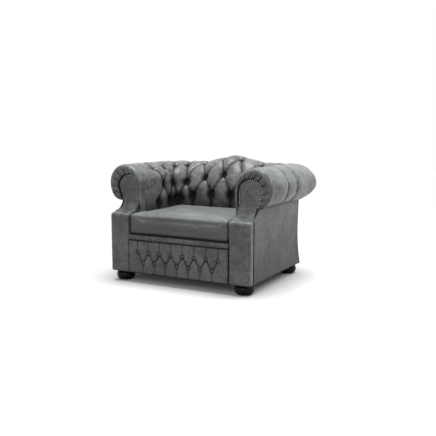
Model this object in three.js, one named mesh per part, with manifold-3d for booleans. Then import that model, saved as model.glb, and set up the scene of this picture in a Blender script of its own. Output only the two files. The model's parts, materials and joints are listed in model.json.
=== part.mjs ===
// A chesterfield armchair, in millimetres, with +Z up and the chair facing -Y.
// Left and right are as seen from the front: left is -X.
// The origin is on the floor, under the middle of the chair's outer box.

import * as THREE from 'three';
import { mergeVertices } from 'three/addons/utils/BufferGeometryUtils.js';
import { RoundedBoxGeometry } from 'three/addons/geometries/RoundedBoxGeometry.js';
import Module from 'manifold-3d';

const wasm = await Module();
wasm.setup();

// The base and the pillars
const frontWidth = 990;       // across the outer faces of the two pillars
const pillarWidth = 139.5;
const pillarHeight = 440;     // floor to the ledge on top of a pillar
const pillarRadius = 14;      // soft edge of a pillar
const baseBottom = 62.6;      // floor to the underside of the upholstery
const baseDepth = 797;        // pillar front to the rear foot of the outside back
const waistDepth = 745;       // pillar front to the outside back at its slimmest
const waistHeight = 300;
const neckDepth = 758;        // pillar front to the outside back under the roll
const pillarWrap = 52;        // pillar front to the end of the pillar's leather outside

// The front between the pillars
const stripBottom = 273;      // rail strip under the cushion
const stripTop = 307;
const stripFace = 3;          // setback of the strip from the pillar fronts
const borderFace = 9;         // setback of the border at its pleats
const borderPuff = 6;         // how far the border swells between its pleats
const borderPleat = 2;        // depth of a pleat below the border's face
const borderHollow = 5;       // depth of a button below the border's face
const borderBack = 22;        // setback of the border's back
const borderButtonPitch = 82;
const borderHighRow = 196;    // floor to the upper row of buttons
const borderLowRow = 132;     // floor to the lower row
const borderPleatSpread = 12; // how wide a pleat opens
const borderHollowSpread = 14;
const borderButtonRadius = 10;
const borderButtonRise = 6;

// The padded outline of an arm, seen from the front
const insideArm = 338;        // middle of the chair to the inside face
const armCrest = 467;         // middle of the chair to the top of the roll
const armWide = 594;          // middle of the chair to the outside of the roll
const armFoot = 500;          // middle of the chair to where the roll ends below
const armHeight = 740;
const armStraight = 620;      // floor to where the inside face starts to roll over
const armWideHeight = 620;    // floor to the widest point of the roll
const rollBottom = 505;       // floor to the underside of the rolls

// The padded outline of the back, seen from the side
const insideBack = 562;       // pillar front to the inside face
const backCrest = 800;
const backWide = 930;
const backFoot = 760;
const backHeight = 735;       // floor to the top of the roll, without the hump
const backStraight = 480;
const backWideHeight = 590;
const humpRise = 48;          // the raised middle of the back
const humpSpread = 150;

// The corners of the pads, in plan
const innerCorner = 75;
const outerCorner = 135;

// The pads behind the leather
const padThickness = 62;      // the stem of a pad, behind its inside face
const padBottom = 310;        // floor to the foot of the pads and the cushion

// Deep buttoning
const armPitch = 145;         // between buttons of one row on an arm
const armButtonStart = 342;   // pillar front to the first button of a row
const backPitch = 148;        // between buttons of one row on the back
const buttonHollow = 34;      // depth of a button below the smooth outline
const buttonSpread = 27;      // how wide a hollow opens
const pleatDepth = 9;
const pleatSpread = 12;
const seamDepth = 4;          // depth of the pleats that run over the roll and down its outside
const buttonRadius = 9;
const buttonLift = 2;         // how far a button's centre lies in front of its hollow

// Where the rows of buttons lie on the outline: on the arm, at the corner, on the back.
// 0 is the foot of the inside face, 1 its top, 2 the crest, 3 the widest point, 4 the end.
const lowRowShares = [0.54, 0.74, 1.08];
const middleRowShares = [0.91, 1.13, 1.39];
const topRowShares = [1.61, 1.74, 1.86];
// The columns before and after the mitre of a corner, each as a share of its own half
const cornerMiddleShares = [0.61, 0.73];
const cornerTopShares = [0.83, 0.39];
const leastTrackShare = 0.02;     // rings of a pad lie at least this far apart

// The scroll fronts
const facingFace = 138;       // pillar front to the upright part of the facing
const facingThickness = 8;
const facingArchX = 435;      // middle of the chair to the centre of the arch
const facingArchZ = 594;
const facingArchRadius = 79;
const facingSweepDepth = 80;  // how far the foot of the facing sweeps forward
const facingSweepHeight = 84;
const facingToe = 6;          // thickness of the facing where it meets the pillar
const facingCrown = 3;        // how far the facing swells in the middle
const boardThickness = 18.4;
const rollFrontBulge = 30;    // how far the pleated leather stands in front of the facing
const rollFrontEdge = 20;     // depth of its soft outer edge
const rollFrontPleat = 7;
const rollFrontInside = 335;  // middle of the chair to its inner side
// A slice through the pleated leather: places across it, and how far each lies behind its crown
const rollFrontAcrossShares = [0.25, 0.5, 0.8];
const rollFrontBehindShares = [0.2, 0, 0.25];
const archTopShare = 0.96;        // how much of the quarter turn over an arch the facing follows

// The nails
const nailRadius = 5;
const nailRise = 3;
const nailPitch = 11.6;
const nailStripThickness = 1;
const nailStripWidth = 4;
const nailInset = 6;          // from the facing's edge to the line of nails
const nailArchBottom = 505;   // floor to the lowest nail of an arch
const nailRowMargin = 8;      // clear length above and below the straight rows

// The outside panels
const panelThickness = 10;

// The timbers
const timber = 44;            // thickness of a rail or post
const railHeight = 78;        // height of the base rails
const seatRailTop = 299;
const seatRailHeight = 59;
const pillarFront = 14;       // padding in front of a front post
const pillarWall = 8;         // padding on its sides
const pillarCap = 12;         // padding on top of it
const ledgeBlockHeight = 28;
const rearPostGap = 1;        // behind the rear posts, where the outside back is slimmest
const rollRailBottom = 610;
const rollRailTop = 650;
const blockWidth = 55;        // foot blocks
const blockHeight = 58;
const blockLength = 68;
const rearBlockAhead = 39;    // a rear foot's middle to the front of its block
const rearBlockBehind = 33;   // a rear foot's middle to the back of its block
const frontRailThickness = 26;
const seatRailThickness = 37.7;
const seatSideRailWidth = 34.7;
const rearSeatRailAhead = 64; // in front of the rear posts
const backRailThickness = 16; // at its slimmest

// The springs
const springCount = 4;
const springPitch = 165;
const springWire = 4;
const springSwing = 22;       // from a spring's middle line to its bends
const springBends = 22;
const anchorThickness = 6;
const anchorHeight = 16;
const deckThickness = 10.1;
const dustCoverThickness = 1.5;
const dustCoverInset = 6;

// The loose cushion
const cushionSideGap = 7;     // between the cushion and the inside faces of the arms
const cushionBackGap = 6;
const cushionFace = 5;        // setback of its front from the pillar fronts
const cushionEdgeHeight = 436;
const cushionCrown = 22;      // how far the middle of the top rises over its edge
const cushionDrawIn = 7;      // how far the middle of each side pulls in
const cushionEdgeRadius = 18;
const cushionCornerRadius = 30;
const cushionRearCorner = 85;
const coverThickness = 12;
const zipLength = 420;
const zipHeight = 14;
const zipRecess = 3.5;        // from the back of the cushion to the face of the zip
// The soft edge of the cushion, as heights and insets measured in its radius
const edgeHeightShares = [0, 0.25, 1];
const edgeInsetShares = [0.7, 0.25, 0];
const crownRingShares = [0.93, 0.8, 0.6, 0.35];

// The feet
const footSetbackSide = 67;   // pillar side to a foot's middle
const footSetbackFront = 74;
const footSetbackRear = 68;
const footRadius = 60;
const footTopRadius = 54;
const footSoleRadius = 34;
const footBeltHeight = 40;    // floor to the widest part of a foot
// The shoulder of a foot, between its widest part and its top
const footShoulderRadiusShare = 0.3;
const footShoulderHeightShare = 0.6;
const boltRadius = 4;
const boltIntoFoot = 30;
const boltIntoBlock = 45;

// Fits and cuts
const clearance = 0.3;
const overrun = 40;

// Values that follow from the sizes above
const side = frontWidth / 2;
const pillarInside = side - pillarWidth;
const cornerStartY = insideBack - innerCorner;
const cornerStartX = insideArm - innerCorner;
const rollFrontBack = facingFace + facingThickness + boardThickness + clearance;
const panelInside = side - panelThickness;
const deckTop = padBottom - clearance;
const postInside = pillarInside + pillarWall + clearance;
const postOutside = panelInside - clearance;
const railTop = baseBottom + railHeight;
const blockTop = baseBottom + blockHeight;
const slimDepth = Math.min(baseDepth, waistDepth, neckDepth);
const rearPostFront = slimDepth - panelThickness - rearPostGap - timber;
const rearPostBack = rearPostFront + timber;
const rearSeatRailFront = rearPostFront - rearSeatRailAhead;

// Materials
function finish(color, roughness, metalness) {
  return () => new THREE.MeshStandardMaterial({ color, roughness, metalness });
}
const leather = finish(0x626564, 0.55, 0);
const paleLeather = finish(0x747877, 0.5, 0);
const wood = finish(0xb08a5c, 0.8, 0);
const darkWood = finish(0x1e1512, 0.35, 0);
const plywood = finish(0xc19c6a, 0.8, 0);
const steel = finish(0x8d9094, 0.4, 0.9);
const nailMetal = finish(0x4b4a48, 0.35, 0.9);
const foam = finish(0xe6dfae, 0.95, 0);
const felt = finish(0x8b8577, 0.95, 0);
const cambric = finish(0x15151a, 0.95, 0);
const zipTape = finish(0x2c2d2d, 0.7, 0);

// General shapes

function mix(a, b, share) {
  return a + (b - a) * share;
}

function smooth(share) {
  const s = Math.min(Math.max(share, 0), 1);
  return s * s * (3 - 2 * s);
}

function block(x0, x1, y0, y1, z0, z1) {
  const geometry = new THREE.BoxGeometry(x1 - x0, y1 - y0, z1 - z0);
  return geometry.translate((x0 + x1) / 2, (y0 + y1) / 2, (z0 + z1) / 2);
}

function outlineShape(points) {
  return new THREE.Shape(points.map(([a, b]) => new THREE.Vector2(a, b)));
}

// A flat outline in Y and Z, as thick as x0 to x1
function prismX(points, x0, x1) {
  const settings = { depth: x1 - x0, bevelEnabled: false };
  const geometry = new THREE.ExtrudeGeometry(outlineShape(points), settings);
  const turn = new THREE.Matrix4().makeBasis(
    new THREE.Vector3(0, 1, 0), new THREE.Vector3(0, 0, 1), new THREE.Vector3(1, 0, 0));
  return geometry.applyMatrix4(turn).translate(x0, 0, 0);
}

// A flat outline in X and Z, as thick as y0 to y1
function prismY(points, y0, y1) {
  const settings = { depth: y1 - y0, bevelEnabled: false };
  const geometry = new THREE.ExtrudeGeometry(outlineShape(points), settings);
  return geometry.rotateX(Math.PI / 2).translate(0, y1, 0);
}

// The ring seen along the axis that it faces most
function flattened(ring) {
  const facing = new THREE.Vector3();
  ring.forEach((p, i) => facing.add(new THREE.Vector3().crossVectors(p, ring[(i + 1) % ring.length])));
  const [x, y, z] = facing.toArray().map(Math.abs);
  if (z >= x && z >= y) {
    return ring.map((p) => new THREE.Vector2(p.x, p.y));
  }
  return ring.map((p) => (y >= x ? new THREE.Vector2(p.x, p.z) : new THREE.Vector2(p.y, p.z)));
}

// The triangles that close one end of a row of rings, turned the same way as the ring
function capTriangles(ring) {
  const flat = flattened(ring);
  const faces = THREE.ShapeUtils.triangulateShape(flat, []);
  const turn = THREE.ShapeUtils.area(faces[0].map((i) => flat[i])) * THREE.ShapeUtils.area(flat);
  return turn > 0 ? faces : faces.map(([a, b, c]) => [a, c, b]);
}

// Whether the line from a to c passes nearer to a place than the line from b to d
function firstDiagonalFits([a, b, c, d], place) {
  const first = a.clone().add(c).divideScalar(2);
  const second = b.clone().add(d).divideScalar(2);
  return first.distanceTo(place) <= second.distanceTo(place);
}

// A closed solid through a row of rings with equal numbers of points. Where the places in the
// middle of its faces are given, each face is split along the diagonal that lies nearer to its own.
function loft(rings, middles = []) {
  const count = rings[0].length;
  const points = rings.flat();
  const last = points.length - count;
  const faces = [];
  for (let r = 0; r < rings.length - 1; r += 1) {
    for (let i = 0; i < count; i += 1) {
      const j = (i + 1) % count;
      const [a, b, c, d] = [r * count + i, r * count + j, (r + 1) * count + j, (r + 1) * count + i];
      const middle = middles[r]?.[i];
      if (!middle || firstDiagonalFits([a, b, c, d].map((index) => points[index]), middle)) {
        faces.push([a, b, c], [a, c, d]);
      } else {
        faces.push([a, b, d], [b, c, d]);
      }
    }
  }
  capTriangles(rings[0]).forEach(([a, b, c]) => faces.push([a, c, b]));
  capTriangles(rings[rings.length - 1]).forEach(([a, b, c]) => faces.push([last + a, last + b, last + c]));
  return solidFrom(points, faces);
}

// An indexed geometry whose faces point outwards
function solidFrom(points, faces) {
  const volume = faces.reduce((sum, [a, b, c]) => {
    const cross = new THREE.Vector3().crossVectors(points[b], points[c]);
    return sum + points[a].dot(cross) / 6;
  }, 0);
  const outward = volume > 0 ? faces : faces.map(([a, b, c]) => [a, c, b]);
  const geometry = new THREE.BufferGeometry().setFromPoints(points);
  return geometry.setIndex(outward.flat());
}

function toManifold(geometry) {
  const bare = geometry.clone();
  bare.deleteAttribute('normal');
  bare.deleteAttribute('uv');
  const merged = mergeVertices(bare);
  const triVerts = Uint32Array.from(merged.index.array);
  const vertProperties = Float32Array.from(merged.attributes.position.array);
  return new wasm.Manifold(new wasm.Mesh({ numProp: 3, vertProperties, triVerts }));
}

function fromManifold(solid) {
  const mesh = solid.getMesh();
  const geometry = new THREE.BufferGeometry();
  geometry.setAttribute('position', new THREE.BufferAttribute(Float32Array.from(mesh.vertProperties), 3));
  return geometry.setIndex(Array.from(mesh.triVerts));
}

function cut(geometry, ...tools) {
  const solid = tools.reduce((rest, tool) => rest.subtract(toManifold(tool)), toManifold(geometry));
  return fromManifold(solid);
}

function join(geometry, ...others) {
  const solid = others.reduce((sum, other) => sum.add(toManifold(other)), toManifold(geometry));
  return fromManifold(solid);
}

// The same solid on the other side of the chair
function mirrored(geometry) {
  const copy = geometry.index ? geometry.clone() : mergeVertices(geometry);
  copy.applyMatrix4(new THREE.Matrix4().makeScale(-1, 1, 1));
  const order = copy.index.array;
  for (let i = 0; i < order.length; i += 3) {
    [order[i + 1], order[i + 2]] = [order[i + 2], order[i + 1]];
  }
  return copy;
}

const chair = new THREE.Group();

function add(name, geometry, material) {
  const mesh = new THREE.Mesh(geometry, material());
  mesh.name = name;
  chair.add(mesh);
}

// Adds a piece made for the right side, and its mirror image on the left
function addPair(name, geometry, material) {
  add(`${name}_right`, geometry, material);
  add(`${name}_left`, mirrored(geometry), material);
}

// The outside back's depth at a height: it flares out at the foot and leans back at the neck
function rearDepth(height) {
  if (height < waistHeight) {
    const share = (waistHeight - height) / (waistHeight - baseBottom);
    return mix(waistDepth, baseDepth, share * share);
  }
  const share = (height - waistHeight) / (rollBottom - waistHeight);
  return mix(waistDepth, neckDepth, share * share);
}

// Even steps between two lengths, both ends included
function steps(from, to, count) {
  return Array.from({ length: count + 1 }, (_, i) => mix(from, to, i / count));
}

// The front of the facing: upright above, sweeping forward onto the pillar below
function facingDepth(height) {
  const drop = Math.max(pillarHeight + facingToe + facingSweepHeight - height, 0) / facingSweepHeight;
  const reach = Math.sqrt(Math.max(1 - drop * drop, 0));
  return facingFace - facingSweepDepth * (1 - reach);
}

// The padded outline

const armSection = {
  inside: insideArm, crest: armCrest, wide: armWide, foot: armFoot,
  straight: armStraight, top: armHeight, wideHeight: armWideHeight,
};
const backSection = {
  inside: insideBack, crest: backCrest, wide: backWide, foot: backFoot,
  straight: backStraight, top: backHeight, wideHeight: backWideHeight,
};

// The reach and height of the outline at a share from 0, its foot inside, to 4, its end outside
function sectionPoint(section, share) {
  const quarter = Math.min(Math.floor(share), 3);
  const angle = (share - quarter) * Math.PI / 2;
  if (quarter === 0) {
    return [section.inside, mix(padBottom, section.straight, share)];
  }
  const [fromUp, fromOut] = [Math.cos(angle), Math.sin(angle)];
  if (quarter === 1) {
    return [mix(section.crest, section.inside, fromUp), mix(section.straight, section.top, fromOut)];
  }
  if (quarter === 2) {
    return [mix(section.crest, section.wide, fromOut), mix(section.wideHeight, section.top, fromUp)];
  }
  return [mix(section.foot, section.wide, fromUp), mix(section.wideHeight, rollBottom, fromOut)];
}

// A place in plan along the right half of the pads. The track runs from 0 at the arm's front
// to 1 where the corner starts, 2 at the mitre, 3 where it ends and 4 at the middle of the back.
function planPoint(armReach, backReach, radius, track) {
  const bend = radius * Math.PI / 4;
  const armRun = backReach - radius - cornerStartY;
  const backRun = armReach - radius - cornerStartX;
  if (track <= 1) {
    return [armReach, mix(rollFrontBack + clearance, cornerStartY, track)];
  }
  if (track >= 3) {
    return [mix(cornerStartX, 0, track - 3), backReach];
  }
  const onArm = track <= 2;
  const run = onArm ? armRun : backRun;
  const along = (onArm ? track - 1 : 3 - track) * (run + bend);
  if (along <= run) {
    return onArm ? [armReach, cornerStartY + along] : [cornerStartX + along, backReach];
  }
  const turned = (along - run) / radius;
  const angle = onArm ? turned : Math.PI / 2 - turned;
  return [armReach - radius * (1 - Math.cos(angle)), backReach - radius * (1 - Math.sin(angle))];
}

function hump(x) {
  return humpRise * Math.exp(-((x / humpSpread) ** 2));
}

// The smooth outline of the pads, before buttoning
function padPoint(track, share) {
  const [armReach, armZ] = sectionPoint(armSection, share);
  const [backReach, backZ] = sectionPoint(backSection, share);
  const reachShare = (armReach - insideArm) / (armWide - insideArm);
  const radius = mix(innerCorner, outerCorner, reachShare);
  const [x, y] = planPoint(armReach, backReach, radius, track);
  const z = mix(armZ, backZ, smooth((track - 1) / 2));
  const fade = Math.cos(Math.max(share - 3, 0) * Math.PI / 2);
  const lift = track > 2 ? fade * smooth((z - padBottom) / (backHeight - padBottom)) : 0;
  return new THREE.Vector3(x, y, z + hump(x) * lift);
}

// The direction into the pad
function padInward(track, share) {
  const step = leastTrackShare / 2;
  const along = padPoint(Math.min(track + step, 4), share).sub(padPoint(Math.max(track - step, 0), share));
  const across = padPoint(track, Math.min(share + step, 4)).sub(padPoint(track, Math.max(share - step, 0)));
  return along.cross(across).normalize();
}

// Rows: 0 is the foot of the pad, 1 to 3 its rows of buttons, 4 the crest, 5 the widest point and
// 6 the end
function rowShare(track, row) {
  const place = Math.min(Math.max(track - 1, 0), 2);
  const from = Math.floor(Math.min(place, 1));
  const rowShares = [lowRowShares, middleRowShares, topRowShares];
  const shares = rowShares.map((list) => mix(list[from], list[from + 1], place - from));
  const stops = [0, ...shares, 2, 3, 4];
  const below = Math.min(Math.floor(row), stops.length - 2);
  return mix(stops[below], stops[below + 1], row - below);
}

function armTrack(y) {
  return (y - rollFrontBack - clearance) / (cornerStartY - rollFrontBack - clearance);
}

function backTrack(x) {
  return 4 - x / cornerStartX;
}

// Buttons and pleats of the right half, as track and row
const armColumns = [0, 1 / 2, 1].map((pitches) => armTrack(armButtonStart + pitches * armPitch));
const cornerMiddles = cornerMiddleShares.map((share, half) => 1 + half + share);
const cornerTops = cornerTopShares.map((share, half) => 1 + half + share);
const backColumns = [0, 1 / 2, 1, 3 / 2].map((pitches) => backTrack(pitches * backPitch));

const lowButtons = [armColumns[0], armColumns[2], 2, backColumns[3], backColumns[1]];
const middleButtons = [armColumns[1], ...cornerMiddles, backColumns[2], backColumns[0]];
const topButtons = [armColumns[0], armColumns[2], ...cornerTops, backColumns[3], backColumns[1]];
const buttons = [
  ...lowButtons.map((track) => [track, 1]),
  ...middleButtons.map((track) => [track, 2]),
  ...topButtons.map((track) => [track, 3]),
];

// Each middle button is joined by pleats to the low and top buttons on both sides of it
const topLinks = [[0, 0], [0, 1], [1, 1], [1, 2], [2, 3], [2, 4], [3, 4], [3, 5], [4, 5]];
const lowLinks = [[0, 0], [0, 1], [1, 1], [1, 2], [2, 2], [2, 3], [3, 3], [3, 4], [4, 4]];
const pleats = [
  ...topLinks.map(([m, t]) => [[middleButtons[m], 2], [topButtons[t], 3]]),
  ...lowLinks.map(([m, l]) => [[middleButtons[m], 2], [lowButtons[l], 1]]),
  ...lowButtons.map((track) => [[track, 1], [track, 0]]),
];
const seams = topButtons.map((track) => [[track, 3], [track, 6]]);

function rowPoint([track, row]) {
  return padPoint(track, rowShare(track, row));
}

// A pleat as a chain of points on the smooth outline, four to a row
function chain([[fromTrack, fromRow], [toTrack, toRow]]) {
  const count = Math.ceil(Math.abs(toRow - fromRow)) * 4;
  return steps(0, 1, count).map(
    (share) => rowPoint([mix(fromTrack, toTrack, share), mix(fromRow, toRow, share)]));
}

const buttonPoints = buttons.map(rowPoint);
const pleatChains = pleats.map(chain);
const seamChains = seams.map(chain);

function chainDistance(point, links) {
  let least = Infinity;
  for (let i = 1; i < links.length; i += 1) {
    const link = new THREE.Line3(links[i - 1], links[i]);
    const near = link.closestPointToPoint(point, true, new THREE.Vector3());
    least = Math.min(least, near.distanceTo(point));
  }
  return least;
}

function dent(distance, depth, spread) {
  return depth * Math.exp(-((distance / spread) ** 2));
}

function buttonedPoint(track, row) {
  const share = rowShare(track, row);
  const point = padPoint(track, share);
  const twin = new THREE.Vector3(-point.x, point.y, point.z);
  const toButton = Math.min(...buttonPoints.flatMap((b) => [b.distanceTo(point), b.distanceTo(twin)]));
  const toPleat = Math.min(...pleatChains.flatMap(
    (links) => [chainDistance(point, links), chainDistance(twin, links)]));
  const toSeam = Math.min(...seamChains.map((links) => chainDistance(point, links)));
  const depth = dent(toButton, buttonHollow, buttonSpread)
    + Math.max(dent(toPleat, pleatDepth, pleatSpread), dent(toSeam, seamDepth, pleatSpread));
  return point.addScaledVector(padInward(track, share), depth);
}

// The rows of points on the face of a pad: three to each row of buttons, two up to the crest,
// then three to a quarter of the roll
const padRows = [...steps(0, 3, 9), ...steps(3, 4, 2).slice(1), ...steps(4, 6, 6).slice(1)];

// One ring round a pad: its buttoned face, then its back
function padRing(track) {
  const face = padRows.map((row) => buttonedPoint(track, row));
  const stem = [rollBottom, padBottom].map((z) => {
    const reaches = [insideArm, insideBack, innerCorner].map((size) => size + padThickness);
    return new THREE.Vector3(...planPoint(...reaches, track), z);
  });
  return [...face, ...stem];
}

// The places in the middle of the faces between the rings of a pad
function padMiddles(tracks) {
  return tracks.slice(1).map((track, i) => padRows.slice(1).map(
    (row, j) => buttonedPoint((track + tracks[i]) / 2, (row + padRows[j]) / 2)));
}

// Tracks along a pad: even steps that meet the buttons, and five steps from a corner's start to
// its mitre
const padSteps = 6;               // rings to one pitch of buttons
const mitreGap = clearance / 2;
const cornerShares = steps(0, 1, 5);
const armTracks = steps(-1, 1, 2 * padSteps)
  .map((pitches) => armTrack(armButtonStart + pitches * armPitch))
  .filter((track) => track > leastTrackShare && track < 1 - leastTrackShare);
const backTracks = steps(2, 0, 2 * padSteps)
  .map((pitches) => backTrack(pitches * backPitch))
  .filter((track) => track > 3 + leastTrackShare);

function shifted(ring, dx, dy) {
  return ring.map((p) => new THREE.Vector3(p.x + dx, p.y + dy, p.z));
}

function flipped(ring) {
  return ring.map((p) => new THREE.Vector3(-p.x, p.y, p.z));
}

function armPad() {
  const tracks = [0, ...armTracks, ...cornerShares.map((share) => 1 + share)];
  const rings = tracks.map(padRing);
  rings.push(shifted(rings.pop(), mitreGap, -mitreGap));
  return loft(rings, padMiddles(tracks));
}

function backPad() {
  const tracks = [...cornerShares.map((share) => 2 + share), ...backTracks];
  const half = tracks.map(padRing);
  half[0] = shifted(half[0], -mitreGap, mitreGap);
  const middles = padMiddles(tracks);
  return loft(
    [...half, ...half.slice(0, -1).reverse().map(flipped)],
    [...middles, ...middles.slice().reverse().map(flipped)]);
}

function buttonBall(track, row) {
  const inward = padInward(track, rowShare(track, row));
  const place = buttonedPoint(track, row).addScaledVector(inward, -buttonLift);
  return new THREE.SphereGeometry(buttonRadius, 6, 4).translate(...place.toArray());
}

function buttonsBetween(low, high) {
  const chosen = buttons.filter(([track]) => track > low && track < high);
  return chosen.map(([track, row]) => buttonBall(track, row));
}

const postSlot = block(
  panelInside - timber - 2 * clearance, panelInside, rearPostFront - clearance,
  rearPostBack + clearance, padBottom - overrun, rollRailTop + clearance);
const armRailSlot = block(
  panelInside - timber - 2 * clearance, panelInside, -overrun,
  rearPostFront, rollRailBottom - clearance, rollRailTop + clearance);
const backRailSlot = block(
  -panelInside, panelInside, rearPostFront - clearance,
  rearPostBack + clearance, rollRailBottom - clearance, rollRailTop + clearance);

function makePads() {
  const armSolid = join(armPad(), ...buttonsBetween(0, 2));
  addPair('inside_arm', cut(armSolid, postSlot, armRailSlot, backRailSlot), leather);
  const right = buttonsBetween(2, 5);
  const backSolid = join(backPad(), ...right, ...right.map(mirrored));
  const slots = [postSlot, armRailSlot];
  add('inside_back', cut(backSolid, ...slots, ...slots.map(mirrored), backRailSlot), leather);
}

// The scroll fronts

const facingBack = facingFace + facingThickness;
const facingNeck = panelInside - clearance;
const archSteps = 7;

// The outer edge of the facing below the middle of its arch
function neckReach(height) {
  const share = Math.min((facingArchZ - height) / (facingArchZ - rollBottom), 1);
  return mix(facingArchX + facingArchRadius, facingNeck, share);
}

// The inner and outer edges of the facing at a height
function facingEdges(height) {
  const above = Math.max(height - facingArchZ, 0);
  const half = Math.sqrt(Math.max(facingArchRadius ** 2 - above ** 2, 0));
  const innerShare = Math.min((height - pillarHeight) / (facingArchZ - pillarHeight), 1);
  const inner = mix(pillarInside, facingArchX - half, innerShare);
  return [inner, above > 0 ? facingArchX + half : neckReach(height)];
}

// The heights over the middle of the arch at which its outline has points
const archHeights = steps(0, archTopShare, archSteps).slice(1)
  .map((share) => facingArchZ + facingArchRadius * Math.sin(share * Math.PI / 2));

function facingRing(height) {
  const [inner, outer] = facingEdges(height);
  const front = Math.min(facingDepth(Math.max(height, pillarHeight + facingToe)), facingBack);
  const swell = facingCrown * Math.min((outer - inner) / facingArchRadius, 1);
  const middle = [(inner + outer) / 2, front - swell];
  return [[inner, facingBack], [inner, front], middle, [outer, front], [outer, facingBack]]
    .map(([x, y]) => new THREE.Vector3(x, y, height));
}

function makeFacings() {
  const toe = pillarHeight + facingToe;
  const sweep = [...steps(toe, rollBottom, 5), ...steps(rollBottom, toe + facingSweepHeight, 2).slice(1)];
  const heights = [pillarHeight + clearance, ...sweep, facingArchZ, ...archHeights];
  addPair('scroll_facing', loft(heights.map(facingRing)), leather);
}

// The arch-shaped former behind a facing, down to the base rail that it stands on
function makeScrollBoards() {
  const inner = archHeights.map((z) => [facingEdges(z)[0], z]);
  const outer = archHeights.map((z) => [facingEdges(z)[1], z]).reverse();
  const shoulder = pillarHeight + clearance;
  const outline = [
    [postInside, railTop + clearance], [postInside, shoulder],
    [facingEdges(shoulder)[0], shoulder], [facingEdges(facingArchZ)[0], facingArchZ], ...inner, ...outer,
    [neckReach(facingArchZ), facingArchZ], [facingNeck, rollBottom],
    [facingNeck, railTop + clearance],
  ];
  addPair('scroll_board', prismY(outline, facingBack + clearance, rollFrontBack), plywood);
}

// One slice of a roll front, from the facing's edge to the outline of the roll
function rollFrontRing([innerX, innerZ], [outerX, outerZ], pleat) {
  const puff = rollFrontAcrossShares.map(
    (across, i) => [across, facingFace - mix(rollFrontBulge, 0, rollFrontBehindShares[i]) + pleat]);
  const profile = [
    [0, rollFrontBack], [0, facingFace - nailRise], ...puff,
    [1, rollFrontBack - rollFrontEdge], [1, rollFrontBack],
  ];
  return profile.map(
    ([share, y]) => new THREE.Vector3(mix(innerX, outerX, share), y, mix(innerZ, outerZ, share)));
}

// The pleated leather round the scroll, as puffs between drawn-in pleats
function makeRollFronts() {
  const legX = pillarInside - clearance;
  const legs = [padBottom, pillarHeight, (pillarHeight + armStraight) / 2];
  const rings = legs.map((z) => rollFrontRing([legX, z], [rollFrontInside, z], 0));
  const section = { ...armSection, inside: rollFrontInside };
  const archSlices = 12;
  const slices = archSlices * 3 / 2;
  const archRadius = (facingArchRadius + clearance) / Math.cos(Math.PI / archSlices / 2);
  for (let i = 0; i <= slices; i += 1) {
    const share = 1 + 3 * i / slices;
    const angle = Math.PI * (3 - share) / 2;
    const neck = mix(facingArchZ, rollBottom, share - 3);
    const edge = share <= 3
      ? [facingArchX + archRadius * Math.cos(angle), facingArchZ + archRadius * Math.sin(angle)]
      : [neckReach(neck) + clearance, neck];
    const inner = [i === 0 ? legX : edge[0], edge[1]];
    const pleated = i > 2 && i < slices - 1 && i % 2 === 0;
    rings.push(rollFrontRing(inner, sectionPoint(section, share), pleated ? rollFrontPleat : 0));
  }
  addPair('roll_front', loft(rings), leather);
}

// The pillars

function makePillars() {
  const length = rollFrontBack + pillarRadius;
  const height = pillarHeight - baseBottom;
  const shell = new RoundedBoxGeometry(pillarWidth, length, height, 2, pillarRadius);
  shell.translate(side - pillarWidth / 2, length / 2, (pillarHeight + baseBottom) / 2);
  const inner = pillarInside + pillarWall;
  const cap = pillarHeight - pillarCap;
  const [past, low, high] = [rollFrontBack + overrun, baseBottom - overrun, pillarHeight + overrun];
  const room = block(inner, side - pillarWall, pillarFront, pillarWrap, low, cap);
  const roomBehind = block(inner, side + overrun, pillarWrap - clearance, past, low, cap);
  const panelRoom = block(panelInside, side + overrun, pillarWrap - clearance, past, low, high);
  const boardRoom = block(inner, side + overrun, facingBack, past, low, high);
  const behind = block(pillarInside - overrun, side + overrun, rollFrontBack, past, low, high);
  const rooms = [room, roomBehind, panelRoom, boardRoom, behind, frontRailRoom, seatRailRoom];
  addPair('pillar_cover', cut(mergeVertices(shell), ...rooms), leather);
}

const frontRailRoom = block(
  0, side - pillarWall, borderBack, borderBack + frontRailThickness + 2 * clearance,
  baseBottom - overrun, baseBottom + railHeight + clearance);
const seatRailRoom = block(
  0, side - pillarWall, borderBack, borderBack + seatRailThickness + 2 * clearance,
  seatRailTop - seatRailHeight - clearance, seatRailTop + clearance);

// The front between the pillars

function borderDepth(x, z) {
  const point = new THREE.Vector3(x, 0, z);
  const toPleat = Math.min(...borderPleats.map((line) => chainDistance(point, line)));
  const toButton = Math.min(...borderButtons.map((button) => button.distanceTo(point)));
  const puff = borderPuff - dent(toPleat, borderPuff + borderPleat, borderPleatSpread);
  return borderFace - puff + dent(toButton, borderHollow, borderHollowSpread);
}

function borderRow(count, height) {
  const reach = (count - 1) / 2 * borderButtonPitch;
  return steps(-reach, reach, count - 1).map((x) => new THREE.Vector3(x, 0, height));
}

const borderHalf = pillarInside - clearance;
const highCount = Math.floor(2 * borderHalf / borderButtonPitch);
const highRow = borderRow(highCount, borderHighRow);
const lowRow = borderRow(highCount - 1, borderLowRow);
const borderButtons = [...highRow, ...lowRow];
const borderPleats = [
  ...highRow.map((p) => [p, p.clone().setZ(stripBottom)]),
  ...lowRow.map((p) => [p, p.clone().setZ(baseBottom)]),
  ...lowRow.flatMap((p, i) => [[p, highRow[i]], [p, highRow[i + 1]]]),
];

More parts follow.
